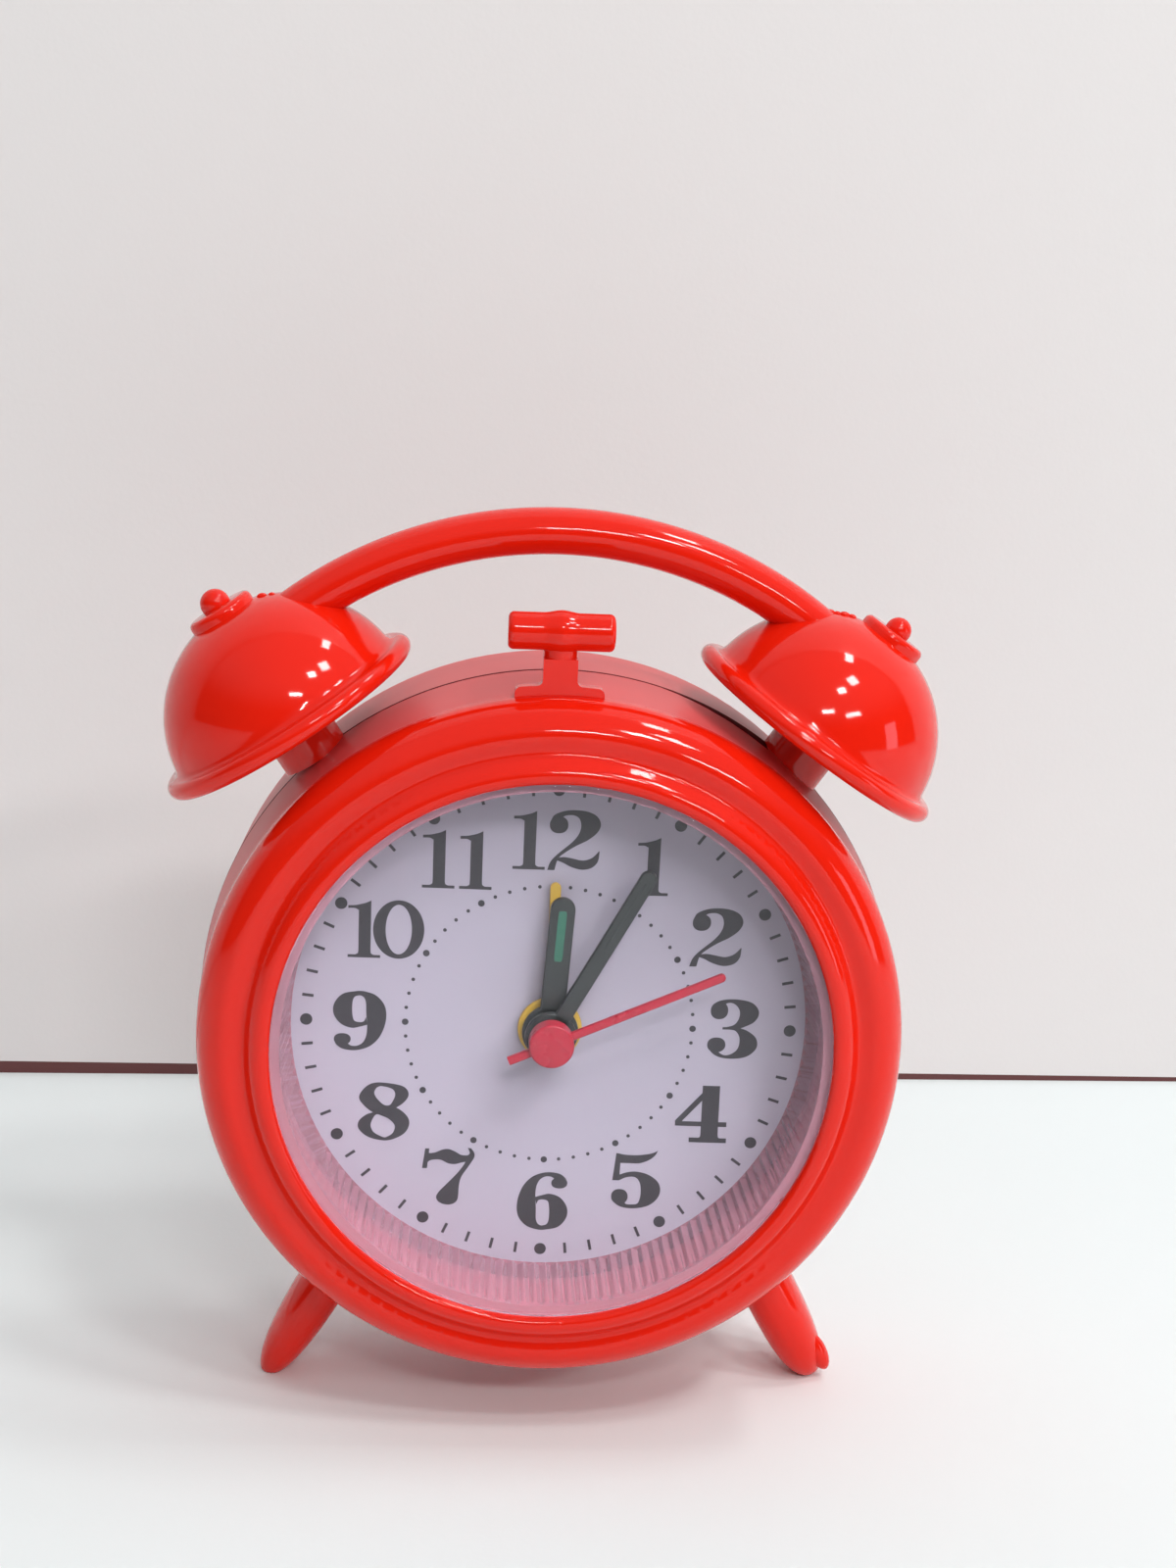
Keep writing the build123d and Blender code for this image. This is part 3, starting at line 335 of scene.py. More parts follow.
CELL_JACKET = Finish("printed_cell_wrap", (0.30, 0.31, 0.34), 0.28, metallic=0.8, mottle_mm=6.0)
CONTACT_STEEL = Finish("contact_nickel", (0.62, 0.61, 0.58), 0.25, metallic=1.0, relief_mm=0.4)
BACK_BLACK = Finish("black_back_plastic", (0.020, 0.020, 0.022), 0.38, relief_mm=0.35, relief_depth=0.03)
SCREW_STEEL = Finish("screw_zinc", (0.55, 0.55, 0.56), 0.30, metallic=1.0, relief_mm=0.3)


# ------------------------------------------------------------------ geometry
@dataclass(frozen=True)
class DialFrame:
    """Where the middle of the dial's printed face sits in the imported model, in metres."""

    origin: tuple[float, float, float]

    @classmethod
    def from_packed(cls) -> "DialFrame":
        """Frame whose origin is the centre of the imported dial's front face."""
        low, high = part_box("dial")
        return cls(((low.x + high.x) / 2, low.y, (low.z + high.z) / 2))

    def place(self, points_mm: Array) -> Array:
        """Turn dial-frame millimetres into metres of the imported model."""
        return points_mm * MM + np.array(self.origin)


DIAL = DialFrame.from_packed()


def smooth_rows(rows: Array, steps: int, loop: bool = False) -> Array:
    """Carry a smooth curve through given rows (Catmull-Rom: each span is the cubic whose end
    slopes are half the step between the neighbours on either side).

    Args:
        rows: Control rows, one per point, of any number of columns.
        steps: Points made for each span.
        loop: Whether the last row runs on into the first.

    Returns:
        The rows of the smooth curve, the control rows among them.
    """
    rows = np.asarray(rows, float)
    if loop:
        padded = np.vstack([rows[-1:], rows, rows[:2]])
    else:
        padded = np.vstack([2 * rows[:1] - rows[1:2], rows, 2 * rows[-1:] - rows[-2:-1]])
    before, start, end, after = padded[:-3], padded[1:-2], padded[2:-1], padded[3:]
    t = (np.arange(steps) / steps)[None, :, None]
    b, s, e, a = (block[:, None, :] for block in (before, start, end, after))
    curve = 0.5 * (2 * s + (e - b) * t + (2 * b - 5 * s + 4 * e - a) * t**2
                   + (3 * s - b - 3 * e + a) * t**3)
    curve = curve.reshape(-1, rows.shape[1])
    return curve if loop else np.vstack([curve, rows[-1:]])


def grid_quads(rows: int, columns: int, join_rows: bool, join_columns: bool) -> Array:
    """Corner indices of every quad of a grid, worked out as whole arrays.

    Args:
        rows: Grid rows.
        columns: Grid columns.
        join_rows: Whether the last row joins the first.
        join_columns: Whether the last column joins the first.

    Returns:
        One row of four vertex indices per quad.
    """
    i = np.arange(rows if join_rows else rows - 1)[:, None]
    j = np.arange(columns if join_columns else columns - 1)[None, :]
    below, right = (i + 1) % rows, (j + 1) % columns
    corners = [i * columns + j, i * columns + right, below * columns + right, below * columns + j]
    return np.stack(np.broadcast_arrays(*corners), -1).reshape(-1, 4)


@dataclass
class Shape:
    """Points and faces of one piece, gathered from grids in dial-frame millimetres."""

    points: list[Array] = field(default_factory=list)
    faces: list[list[int]] = field(default_factory=list)

    def count(self) -> int:
        """Number of points so far."""
        return sum(len(block) for block in self.points)

    def add_grid(self, points: Array, ends: Ends = Ends.OPEN, join_columns: bool = False) -> "Shape":
        """Add a surface given as a grid of points.

        Args:
            points: Array of rows, columns and x, y, z.
            ends: How the first and last rows are closed.
            join_columns: Whether the last column joins the first.

        Returns:
            This shape, for chaining.
        """
        rows, columns = points.shape[:2]
        base = self.count()
        quads = grid_quads(rows, columns, ends is Ends.JOINED, join_columns) + base
        self.points.append(points.reshape(-1, 3))
        self.faces += quads.tolist()
        if ends is Ends.CAPPED:
            first = np.arange(columns) + base
            self.faces += [first.tolist(), (first[::-1] + (rows - 1) * columns).tolist()]
        return self

    def build(self, name: str, finish: Finish, body: Body, slot: Slot, nodes: tuple[str, ...] = (),
              sharp_degrees: float = 40.0) -> None:
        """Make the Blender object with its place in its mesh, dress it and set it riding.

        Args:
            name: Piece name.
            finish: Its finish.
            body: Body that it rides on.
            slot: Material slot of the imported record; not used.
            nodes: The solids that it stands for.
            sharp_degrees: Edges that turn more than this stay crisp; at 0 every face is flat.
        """
        mesh = bpy.data.meshes.new(name)
        mesh.from_pydata(DIAL.place(np.vstack(self.points)), [], self.faces)
        work = bmesh.new()
        work.from_mesh(mesh)
        bmesh.ops.remove_doubles(work, verts=work.verts, dist=WELD)
        bmesh.ops.dissolve_degenerate(work, edges=work.edges, dist=SLIVER)
        bmesh.ops.recalc_face_normals(work, faces=work.faces)
        work.to_mesh(mesh)
        work.free()
        if sharp_degrees:
            mesh.shade_smooth()
            mesh.set_sharp_from_angle(angle=radians(sharp_degrees))
        piece = bpy.data.objects.new(name, mesh)
        bpy.context.scene.collection.objects.link(piece)
        mesh.materials.append(finish.material())
        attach(piece, body.value)
        if nodes:
            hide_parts(*nodes)
        LOG.info("built %s", name)


def turned(profile: Array, around: int, axis_to_frame: Matrix | None = None) -> Array:
    """Turn a profile about an axis: x = r cos a, y = r sin a, z = h for every angle a.

    Args:
        profile: Rows of radius and height along the axis.
        around: Number of angles.
        axis_to_frame: Placement of the axis in the dial frame, or None for the axis along y.

    Returns:
        A grid whose rows follow the profile and whose columns go round.
    """
    angle = 2 * pi * np.arange(around) / around
    radius, height = profile[:, :1], profile[:, 1:]
    local = np.stack([radius * np.cos(angle), radius * np.sin(angle), height + 0 * angle], -1)
    if axis_to_frame is None:
        return local[..., [0, 2, 1]]
    matrix = np.array(axis_to_frame)
    return local @ matrix[:3, :3].T + matrix[:3, 3]


def plate(outline: Array, front_y: float, back_y: float, rounding: float) -> Array:
    """Plate in the dial plane with a rounded front edge: the outline shrinks along its own inward
    normal by a quarter circle while y runs to the front.

    Args:
        outline: Closed loop of x, z.
        front_y: Front face.
        back_y: Back face.
        rounding: Radius of the front edge.

    Returns:
        A grid of outline loops from the back to the front.
    """
    ahead = np.roll(outline, -1, 0) - np.roll(outline, 1, 0)
    inward = np.stack([-ahead[:, 1], ahead[:, 0]], -1) / np.linalg.norm(ahead, axis=1, keepdims=True)
    area = np.sum(outline[:, 0] * np.roll(outline[:, 1], -1) - np.roll(outline[:, 0], -1) * outline[:, 1])
    inward *= np.sign(area)
    turn = np.linspace(0, pi / 2, 5)
    inset = np.concatenate([[0.0], rounding * (1 - np.cos(turn))])
    depth = np.concatenate([[back_y], front_y + rounding * (1 - np.sin(turn))])
    flat = outline[None] + inset[:, None, None] * inward[None]
    return np.stack([flat[..., 0], np.broadcast_to(depth[:, None], flat.shape[:2]), flat[..., 1]], -1)


def clock_turn(degrees: float) -> Array:
    """Matrix that turns rows of x, z clockwise from twelve o'clock."""
    a = radians(degrees)
    return np.array([[cos(a), -sin(a)], [sin(a), cos(a)]])


def round_bar(length: float, tail: float, half_width: float, clockwise: float, steps: int = 16) -> Array:
    """Outline of a bar through the dial centre with a half-round tip, turned from twelve o'clock.

    Args:
        length: Tip's distance from the centre.
        tail: How far the bar runs past the centre the other way.
        half_width: Half its width.
        clockwise: Its angle in degrees.
        steps: Points round the tip.

    Returns:
        Closed loop of x, z.
    """
    bend = np.linspace(0, pi, steps)
    tip = np.stack([half_width * np.cos(bend), length - half_width + half_width * np.sin(bend)], -1)
    return np.vstack([[[half_width, -tail]], tip, [[-half_width, -tail]]]) @ clock_turn(clockwise)


def superellipse(half_a: float, half_b: float, power: float, steps: int) -> Array:
    """Closed loop |x/a|^p + |z/b|^p = 1, from a circle's angle with its sine and cosine raised to 2/p.

    Args:
        half_a: Half size along the first axis.
        half_b: Half size along the second.
        power: 2 for an ellipse, more for a squarer loop.
        steps: Points round it.

    Returns:
        Rows of two coordinates.
    """
    a = 2 * pi * np.arange(steps) / steps
    c, s = np.cos(a), np.sin(a)
    return np.stack([half_a * np.sign(c) * np.abs(c)**(2 / power),
                     half_b * np.sign(s) * np.abs(s)**(2 / power)], -1)


# ------------------------------------------------------------------ case
def dress(finish: Finish, *nodes: str) -> None:
    """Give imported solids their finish.

    Args:
        finish: What they are made of.
        nodes: Names of the solids.
    """
    for node in nodes:
        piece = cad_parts[node]
        piece.data.materials.clear()
        piece.data.materials.append(finish.material())
        LOG.info("dressed %s in %s", node, finish.name)


@dataclass
class Case:
    """The two red mouldings, whose solids already have their real shape."""

    drum: tuple[str, ...] = ("front_shell", "rear_shell")
    fittings: tuple[str, ...] = ("handle_front", "handle_rear", "hammer")

    def build(self) -> None:
        """Dress the mouldings."""
        dress(RED_DRUM, *self.drum)
        dress(RED_PLASTIC, *self.fittings)


@dataclass
class Seam:
    """Painted shade where the mouldings meet: a dark line in the groove, and a dark wedge for the gap that
    opens beside the right bell's neck.
    """

    seam_r: float = 42.8
    seam_y: float = 6.4
    shoulder_r: float = 42.1
    shoulder_y: float = -6.0
    line_half_width: float = 0.25
    line_proud: float = 0.015
    line_depth: float = 0.35
    gap_from: float = 16.0  # degrees clockwise from the top
    gap_to: float = 36.0
    gap_width: float = 3.0
    gap_first: float = 0.02  # share of the gap at which its thin end starts
    gap_power: float = 1.1
    gap_proud: float = 0.03
    gap_depth: float = 0.12

    def line(self) -> Array:
        """Painted shade in the groove: a dark, small rectangle turned about the drum's axis.

        Returns:
            A grid of four rows round the drum.
        """
        outer, inner = self.seam_r + self.line_proud, self.seam_r - self.line_depth
        front, back = self.seam_y - self.line_half_width, self.seam_y + self.line_half_width
        profile = np.array([[outer, front], [outer, back], [inner, back], [inner, front]])
        return turned(profile, DRUM_STEPS)

    def gap(self) -> Array:
        """Painted shade of the gap: a dark wedge on the front moulding, whose front edge runs forward by
        width x share^power, where share is how far the angle has come from the gap's start to its end.

        Returns:
            A grid of sections of four points.
        """
        share = np.linspace(self.gap_first, 1.0, 40)
        angle = np.radians(self.gap_from + (self.gap_to - self.gap_from) * share)[:, None]
        back = self.seam_y - self.line_half_width + 0 * angle
        front = back - self.gap_width * share[:, None]**self.gap_power
        y = np.concatenate([back, front, front, back], 1)
        slope = (self.seam_r - self.shoulder_r) / (self.seam_y - self.shoulder_y)
        surface = self.seam_r + slope * (y - self.seam_y)
        radius = surface + np.array([self.gap_proud, self.gap_proud, -self.gap_depth, -self.gap_depth])
        return np.stack([radius * np.sin(angle), y, radius * np.cos(angle)], -1)

    def build(self) -> None:
        """Lay the painted shade: the line and the gap's wedge."""
        for name, grid, ends in (("seam_shadow_line", self.line(), Ends.JOINED),
                                 ("seam_gap_shade", self.gap(), Ends.CAPPED)):
            Shape().add_grid(grid, ends, True).build(name, SEAM_SHADE, Body.CASE, Slot.RED_SHELL)


def lump(middle: Point3, half: Point3, degrees: float) -> Array:
    """Small pinched lump left by the mould: a ball stretched to its half sizes, then turned about y.

    Args:
        middle: Its middle in the dial frame.
        half: Half sizes across, in depth and along.
        degrees: Turn of its long axis from upright towards the right.

    Returns:
        A closed grid of rings from pole to pole.
    """
    angle = np.linspace(0, pi, LUMP_RINGS)
    profile = np.stack([np.sin(angle), -np.cos(angle)], -1)
    place = Matrix.Translation(middle) @ Matrix.Rotation(radians(degrees), 4, "Y")
    return turned(profile, LUMP_STEPS, place @ Matrix.Diagonal((*half, 1.0)))


def build_moulding(shape: Shape, kind: str, side: Side, sharp_degrees: float = 40.0) -> None:
    """Make a red moulding in place of its front and rear half solids.

    Args:
        shape: Its shape.
        kind: First word of the names of the piece and its solids.
        side: Side of the clock.
        sharp_degrees: Edges that turn more than this stay crisp.
    """
    stem = f"{kind}_{side.name.lower()}"
    nodes = (f"{stem}_front", f"{stem}_rear")
    shape.build(f"{stem}_moulded", RED_PLASTIC, Body.CASE, Slot.RED_SHELL, nodes, sharp_degrees)


@dataclass(frozen=True)
class Bell:
    """One dummy bell: hollow dome with a rolled rim, finial on a washer, and a neck into the drum."""

    side: Side
    ball_r: float
    ball_h: float  # along the bell's axis from the rim's middle plane
    ball_out: float = 0.0  # how far the finial leans off the axis, outwards
    ball_cut: float = 125.0  # degrees from the ball's top to its throat
    throat: Point2 = (0.95, 1.2)  # radii of the throat's top and foot, in the ball's
    throat_lift: float = 0.05
    flash: tuple[Point2, ...] = ()  # mould flash: degrees from the axis, half size
    flash_shape: Point2 = (1.3, 0.8)  # a lump's half sizes along the dome and off it, in its depth's
    crown_x: float = -0.7
    middle_x: float = 31.79
    middle_z: float = 36.11
    seam_y: float = 6.4
    tilt_degrees: float = 34.0
    dome_r: float = 15.1
    dome_wall: float = 1.6
    dome_drop: float = 0.35
    dome_ends: Point2 = (81.5, 93.4)  # degrees from the crown to the fillet outside, and to the rim inside
    rim_r: float = 17.05
    rim_roll: float = 1.15
    roll_degrees: Point2 = (100.0, -90.0)  # where the rolled rim starts and ends, from straight out
    rim_fillet: Point2 = (0.08, 0.22)  # out from the dome, and up from the rim
    washer_r: float = 4.15
    washer_top: float = 15.5
    washer_foot: float = 13.6
    washer_round: float = 0.75
    neck_r: float = 4.2
    neck_foot: float = -5.9  # ends inside the drum's wall
    neck_top: float = 13.4

    def place(self) -> Matrix:
        """Placement of the bell's own axis in the dial frame.

        Returns:
            The matrix.
        """
        sign = self.side.value
        middle = Vector((self.crown_x + sign * self.middle_x, self.seam_y, self.middle_z))
        return Matrix.Translation(middle) @ Matrix.Rotation(sign * radians(self.tilt_degrees), 4, "Y")

    def arc(self, radius: float, start: float, end: float, steps: int) -> Array:
        """Arc of a ball round the dome's middle, angles from its crown: r = R sin a, h = R cos a - drop."""
        a = np.linspace(radians(start), radians(end), steps)
        return np.stack([radius * np.sin(a), radius * np.cos(a) - self.dome_drop], -1)

    def shell(self) -> Array:
        """Profile of the hollow dome: outer arc, hollow fillet, rolled rim, and back up the inside.

        Returns:
            Rows of radius and height.
        """
        roll_middle = self.rim_r - self.rim_roll
        a = np.radians(np.linspace(*self.roll_degrees, 15))
        roll = np.stack([roll_middle + self.rim_roll * np.cos(a), self.rim_roll * np.sin(a)], -1)
        outer_end, inner_end = self.dome_ends
        inside = self.arc(self.dome_r - self.dome_wall, inner_end, 0, 24)
        fillet = [[self.dome_r + self.rim_fillet[0], self.rim_roll + self.rim_fillet[1]]]
        return np.vstack([self.arc(self.dome_r, 0, outer_end, 30), fillet, roll, inside])

    def finial(self) -> Array:
        """Profile of the ball, its short throat and the washer under it.

        Returns:
            Rows of radius and height.
        """
        a = np.linspace(0, radians(self.ball_cut), 16)
        ball = np.stack([self.ball_r * np.sin(a), self.ball_h + self.ball_r * np.cos(a)], -1)
        b = np.linspace(pi / 2, 0, 6)
        edge = np.stack([self.washer_r - self.washer_round * (1 - np.cos(b)),
                         self.washer_top - self.washer_round * (1 - np.sin(b))], -1)
        narrow, wide = self.throat
        throat = [[self.ball_r * narrow, self.washer_top + self.throat_lift],
                  [self.ball_r * wide, self.washer_top]]
        foot = [[self.washer_r, self.washer_foot], [0, self.washer_foot]]
        return np.vstack([ball, throat, edge, foot])

    def neck(self) -> Array:
        """Profile of the neck, from inside the dome down into the drum's wall."""
        r, top, foot = self.neck_r, self.neck_top, self.neck_foot
        return np.array([[0, top], [r, top], [r, foot], [0, foot]])

    def flash_at(self, degrees: float) -> Point3:
        """Place of a bit of flash on the seam's line over the dome.

        Args:
            degrees: Its angle from the crown, towards the handle.

        Returns:
            The point in the dial frame.
        """
        a = radians(degrees)
        across = -self.side.value * self.dome_r * sin(a)
        return tuple(self.place() @ Vector((across, 0, self.dome_r * cos(a) - self.dome_drop)))

    def build(self) -> None:
        """Make the bell."""
        place = self.place()
        lean = place @ Matrix.Translation((self.side.value * self.ball_out, 0, 0))
        shape = Shape()
        for profile, where, around in ((self.shell(), place, BELL_STEPS), (self.finial(), lean, SMALL_STEPS),
                                       (self.neck(), place, SMALL_STEPS)):
            shape.add_grid(turned(profile, around, where), join_columns=True)
        for degrees, half in self.flash:
            along = self.side.value * (self.tilt_degrees - degrees)
            across, off = self.flash_shape
            sizes = (half * across, half, half * off)
            shape.add_grid(lump(self.flash_at(degrees), sizes, along), join_columns=True)
        build_moulding(shape, "bell", self.side)


@dataclass
class Bells:
    """The two dummy bells, whose finials came out of the mould a little different."""

    pair: tuple[Bell, Bell] = (
        Bell(Side.LEFT, 1.8, 15.95, flash=((20.0, 0.45), (24.5, 0.3))),
        Bell(Side.RIGHT, 1.6, 15.85, ball_out=0.5, flash=(
            (19.5, 0.4), (23.0, 0.5), (26.5, 0.35), (30.0, 0.5), (33.5, 0.4), (37.0, 0.3))))

    def build(self) -> None:
        """Make both bells."""
        for bell in self.pair:
            bell.build()


@dataclass(frozen=True)
class Leg:
    """One moulded foot: a tapering leg with a blunt round end, set into the drum's wall."""

    side: Side
    at_degrees: float
    tilt_degrees: float
    half_width: float
    half_depth: float
    fullness: float
    length: float
    middle_y: float
    pair_x: float
    burr_at: Point3 | None = None  # middle of the moulding burr
    burr_half: Point3 = (1.3, 1.4, 2.9)
    start_r: float = 39.4
    start_along: float = 2.3  # the leg begins this far along, inside the wall
    table_z: float = -50.35
    squareness: float = 2.2

    def grid(self) -> Array:
        """Sections along the leg: a superellipse scaled by sqrt(1 - share^fullness), laid across the
        tilted axis, and every point below the table lifted to it for a flat sole.

        Returns:
            A grid of sections from the drum to the tip.
        """
        first = self.start_along / self.length
        share = first + (1 - first) * np.sin(np.linspace(0, pi / 2, 40))[:, None]
        left = np.sqrt(np.clip(1 - share**self.fullness, 0, None))
        section = superellipse(self.half_width, self.half_depth, self.squareness, SMALL_STEPS)
        across, deep = left * section[:, 0], left * section[:, 1]
        sign, at, tilt = self.side.value, radians(self.at_degrees), radians(self.tilt_degrees)
        out, down = sign * sin(tilt), -cos(tilt)
        along = self.length * share
        x = self.pair_x + sign * self.start_r * sin(at) + along * out - across * down
        z = -self.start_r * cos(at) + along * down + across * out
        return np.stack([x, self.middle_y + deep, np.maximum(z, self.table_z)], -1)

    def build(self) -> None:
        """Make the foot."""
        shape = Shape().add_grid(self.grid(), Ends.CAPPED, join_columns=True)
        if self.burr_at:
            along = -self.side.value * self.tilt_degrees
            shape.add_grid(lump(self.burr_at, self.burr_half, along), join_columns=True)
        build_moulding(shape, "foot", self.side, sharp_degrees=60)


@dataclass
class Feet:
    """The two splayed feet, each a little different, as they came out of the mould."""

    pair: tuple[Leg, Leg] = (
        Leg(Side.LEFT, 38.4, 29.3, 3.17, 4.9, 4.1, 23.17, 7.9, 1.37),
        Leg(Side.RIGHT, 38.2, 28.5, 3.53, 5.2, 5.7, 22.3, 9.4, 1.87, burr_at=(37.0, 7.4, -46.6)))

    def build(self) -> None:
        """Make both feet."""
        for leg in self.pair:
            leg.build()


# ------------------------------------------------------------------ lens
@dataclass
class Lens:
    """Clear cup over the dial: a polished window, and a wall with fine ribs down its inside."""

    front_y: float = -11.9
    thickness: float = 1.2
    front_r: float = 33.05
    rim_round: float = 0.3
    wall: float = 1.1
    dial_edge_r: float = 31.0
    wall_back_r: float = 32.6
    wall_back_y: float = -1.2
    flange_r: float = 34.5
    smooth_band: float = 2.2
    rib_count: int = 144
    rib_height: float = 0.4
    samples_per_rib: int = 6
    rib_start: float = 0.3  # how far behind the smooth band the ribs are full
    draft: float = 0.12
    lip: float = 0.05  # thickness of the wall's edge on the dial
    joint: float = 0.02  # hairline between window and wall, so that their faces never coincide

    @property
    def window_back_y(self) -> float:
        """Inside face of the window."""
        return self.front_y + self.thickness

    def window(self) -> Array:
        """Window turned from its middle over the rounded rim and back to the middle of its inside.

        Returns:
            A grid whose columns go round.
        """
        turn = np.linspace(0, pi / 2, 5)
        rim = np.stack([self.front_r - self.rim_round * (1 - np.sin(turn)),
                        self.front_y + self.rim_round * (1 - np.cos(turn))], -1)
        middle = self.front_r / 2
        profile = np.vstack([[[0, self.front_y], [middle, self.front_y]], rim,
                             [[self.front_r, self.window_back_y], [middle, self.window_back_y],
                              [0, self.window_back_y]]])
        return turned(profile, DRUM_STEPS)

    def wall_rows(self) -> tuple[Array, Array]:
        """Section of the wall, and how strongly the ribs cut in at each of its points.

        Returns:
            Closed loop of radius and y, and one rib share per row.
        """
        front = self.window_back_y + self.joint
        band = self.front_y + self.smooth_band
        inner_r = self.front_r - self.wall
        rows = [(self.front_r, front, 0), (self.wall_back_r, self.wall_back_y, 0),
                (self.flange_r, self.wall_back_y, 0), (self.flange_r, 0.0, 0),
                (self.dial_edge_r, 0.0, 0), (self.dial_edge_r, -self.lip, 1),
                (inner_r - self.draft, band + self.rib_start, 1), (inner_r, band, 0), (inner_r, front, 0)]
        table = np.array(rows)
        return table[:, :2], table[:, 2]

    def ribbed_wall(self) -> Array:
        """Wall with its ribs cut in: r = r0 + height x share x (1 + cos(n a)) / 2.

        Returns:
            A grid of nine rows, whose columns go round.
        """
        section, share = self.wall_rows()
        around = self.rib_count * self.samples_per_rib
        angle = 2 * pi * np.arange(around) / around
        cut = self.rib_height * share[:, None] * (1 + np.cos(self.rib_count * angle)) / 2
        radius = section[:, :1] + cut
        return np.stack([radius * np.cos(angle), section[:, 1:] + 0 * cut, radius * np.sin(angle)], -1)

    def build(self) -> None:
        """Make both pieces in place of the plain solid."""
        parts = (("lens_window", self.window(), Ends.OPEN, CLEAR_PLASTIC),
                 ("lens_ribbed_wall", self.ribbed_wall(), Ends.JOINED, RIBBED_WALL))
        for name, grid, ends, finish in parts:
            Shape().add_grid(grid, ends, True).build(name, finish, Body.CASE, Slot.LENS, ("lens",), 25)


# ------------------------------------------------------------------ printing
@dataclass(frozen=True)
class Stroke:
    """One printed stroke: rows of two facing edge points, (x, z) of one edge and (x, z) of the other."""

    rows: tuple[tuple[float, float, float, float], ...]
    straight: bool = False
    loop: bool = False

    def strip(self) -> Array:
        """Edge rows, smoothed unless the stroke is straight."""
        rows = np.array(self.rows)
        return rows if self.straight else smooth_rows(rows, STROKE_STEPS, self.loop)


@dataclass(frozen=True)
class Ball:
    """Round end of a stroke."""

    x: float
    z: float
    half_x: float
    half_z: float

    def loop(self) -> Array:
        """Outline of the ball."""
        outline = superellipse(self.half_x, self.half_z, BALL_SQUARENESS, BALL_STEPS)
        return outline + [self.x, self.z]


@dataclass(frozen=True)
class Digit:
    """A fat-faced numeral, drawn in millimetres from the left end of its baseline."""

    width: float
    strokes: tuple[Stroke, ...]
    balls: tuple[Ball, ...] = ()


def bar(x0: float, z0: float, x1: float, z1: float) -> Stroke:
    """Straight upright rectangle between two corners."""
    return Stroke(((x0, z0, x0, z1), (x1, z0, x1, z1)), straight=True)


def half_turn(digit: Digit, height: float) -> Digit:
    """The same numeral turned upside down, as a nine is of a six.

    Args:
        digit: The numeral.
        height: Height of its box.

    Returns:
        The turned numeral.
    """
    w = digit.width
    strokes = tuple(Stroke(tuple((w - a, height - b, w - c, height - d) for a, b, c, d in s.rows),
                           s.straight, s.loop) for s in digit.strokes)
    balls = tuple(Ball(w - b.x, height - b.z, b.half_x, b.half_z) for b in digit.balls)
    return Digit(w, strokes, balls)


ZERO = Digit(6.05, (Stroke(tuple(
    (3.03 + 3.03 * sin(a), 3.6 + 3.62 * cos(a), 3.03 + 1.55 * sin(a), 3.6 + 3.08 * cos(a))
    for a in (radians(30 * k) for k in range(12))), loop=True),))
ONE = Digit(3.85, (
    bar(0.0, 0.0, 3.85, 0.35),
    Stroke(((0.75, 0.3, 3.2, 0.3), (1.15, 0.5, 2.8, 0.5), (1.25, 0.9, 2.7, 0.9), (1.25, 3.0, 2.7, 3.0),
            (1.25, 6.2, 2.7, 6.2))),
    Stroke(((0.0, 6.1, 0.0, 6.42), (0.8, 6.1, 0.8, 6.47), (1.25, 5.9, 1.3, 6.57), (2.0, 5.9, 2.1, 6.8),
            (2.7, 5.9, 2.7, 7.1)))))
TWO = Digit(6.15, (
    Stroke(((0.12, 5.6, 0.9, 5.6), (0.55, 6.6, 1.4, 6.25), (1.7, 7.15, 2.0, 6.65), (3.1, 7.32, 2.9, 6.7),
            (4.6, 7.15, 3.55, 6.35), (5.7, 6.6, 3.8, 5.7), (6.15, 5.65, 3.78, 5.0),
            (5.75, 4.65, 3.45, 4.2), (4.7, 3.75, 2.8, 3.4), (3.3, 3.0, 1.9, 2.6), (2.1, 2.2, 1.0, 1.8),
            (1.25, 1.4, 0.35, 1.0), (0.85, 0.0, 0.0, 0.0))),
    Stroke(((1.1, 1.5, 1.1, 1.2), (2.0, 1.6, 1.8, 0.95), (3.0, 1.45, 2.8, 0.45), (4.2, 1.25, 4.1, 0.13),
            (5.2, 1.55, 5.3, 0.4), (5.85, 2.15, 6.0, 1.2), (6.02, 2.4, 6.15, 2.4)))),
    (Ball(1.2, 5.5, 1.1, 1.02),))
THREE = Digit(6.05, (
    Stroke(((0.25, 6.3, 1.0, 6.3), (0.75, 7.15, 1.75, 6.75), (1.85, 7.55, 2.1, 7.1),
            (3.45, 7.6, 2.75, 7.15), (5.05, 7.25, 3.35, 6.75), (5.9, 6.4, 3.7, 6.1),
            (5.95, 5.5, 3.7, 5.4), (5.4, 4.7, 3.45, 4.75), (4.4, 4.15, 3.0, 4.3), (3.7, 3.85, 2.2, 4.05))),
    bar(1.75, 3.75, 3.7, 4.05),
    Stroke(((3.5, 4.05, 2.4, 3.78), (4.7, 3.65, 3.3, 3.6), (5.75, 2.85, 3.8, 2.9), (6.05, 1.85, 3.88, 2.0),
            (5.65, 0.95, 3.65, 1.2), (4.65, 0.25, 3.05, 0.65), (3.15, 0.0, 2.3, 0.42),
            (1.65, 0.15, 1.65, 0.65), (0.65, 0.7, 1.2, 1.2), (0.1, 1.55, 1.2, 1.7)))),
    (Ball(1.25, 6.15, 1.05, 1.1), Ball(1.12, 1.75, 1.1, 0.95)))
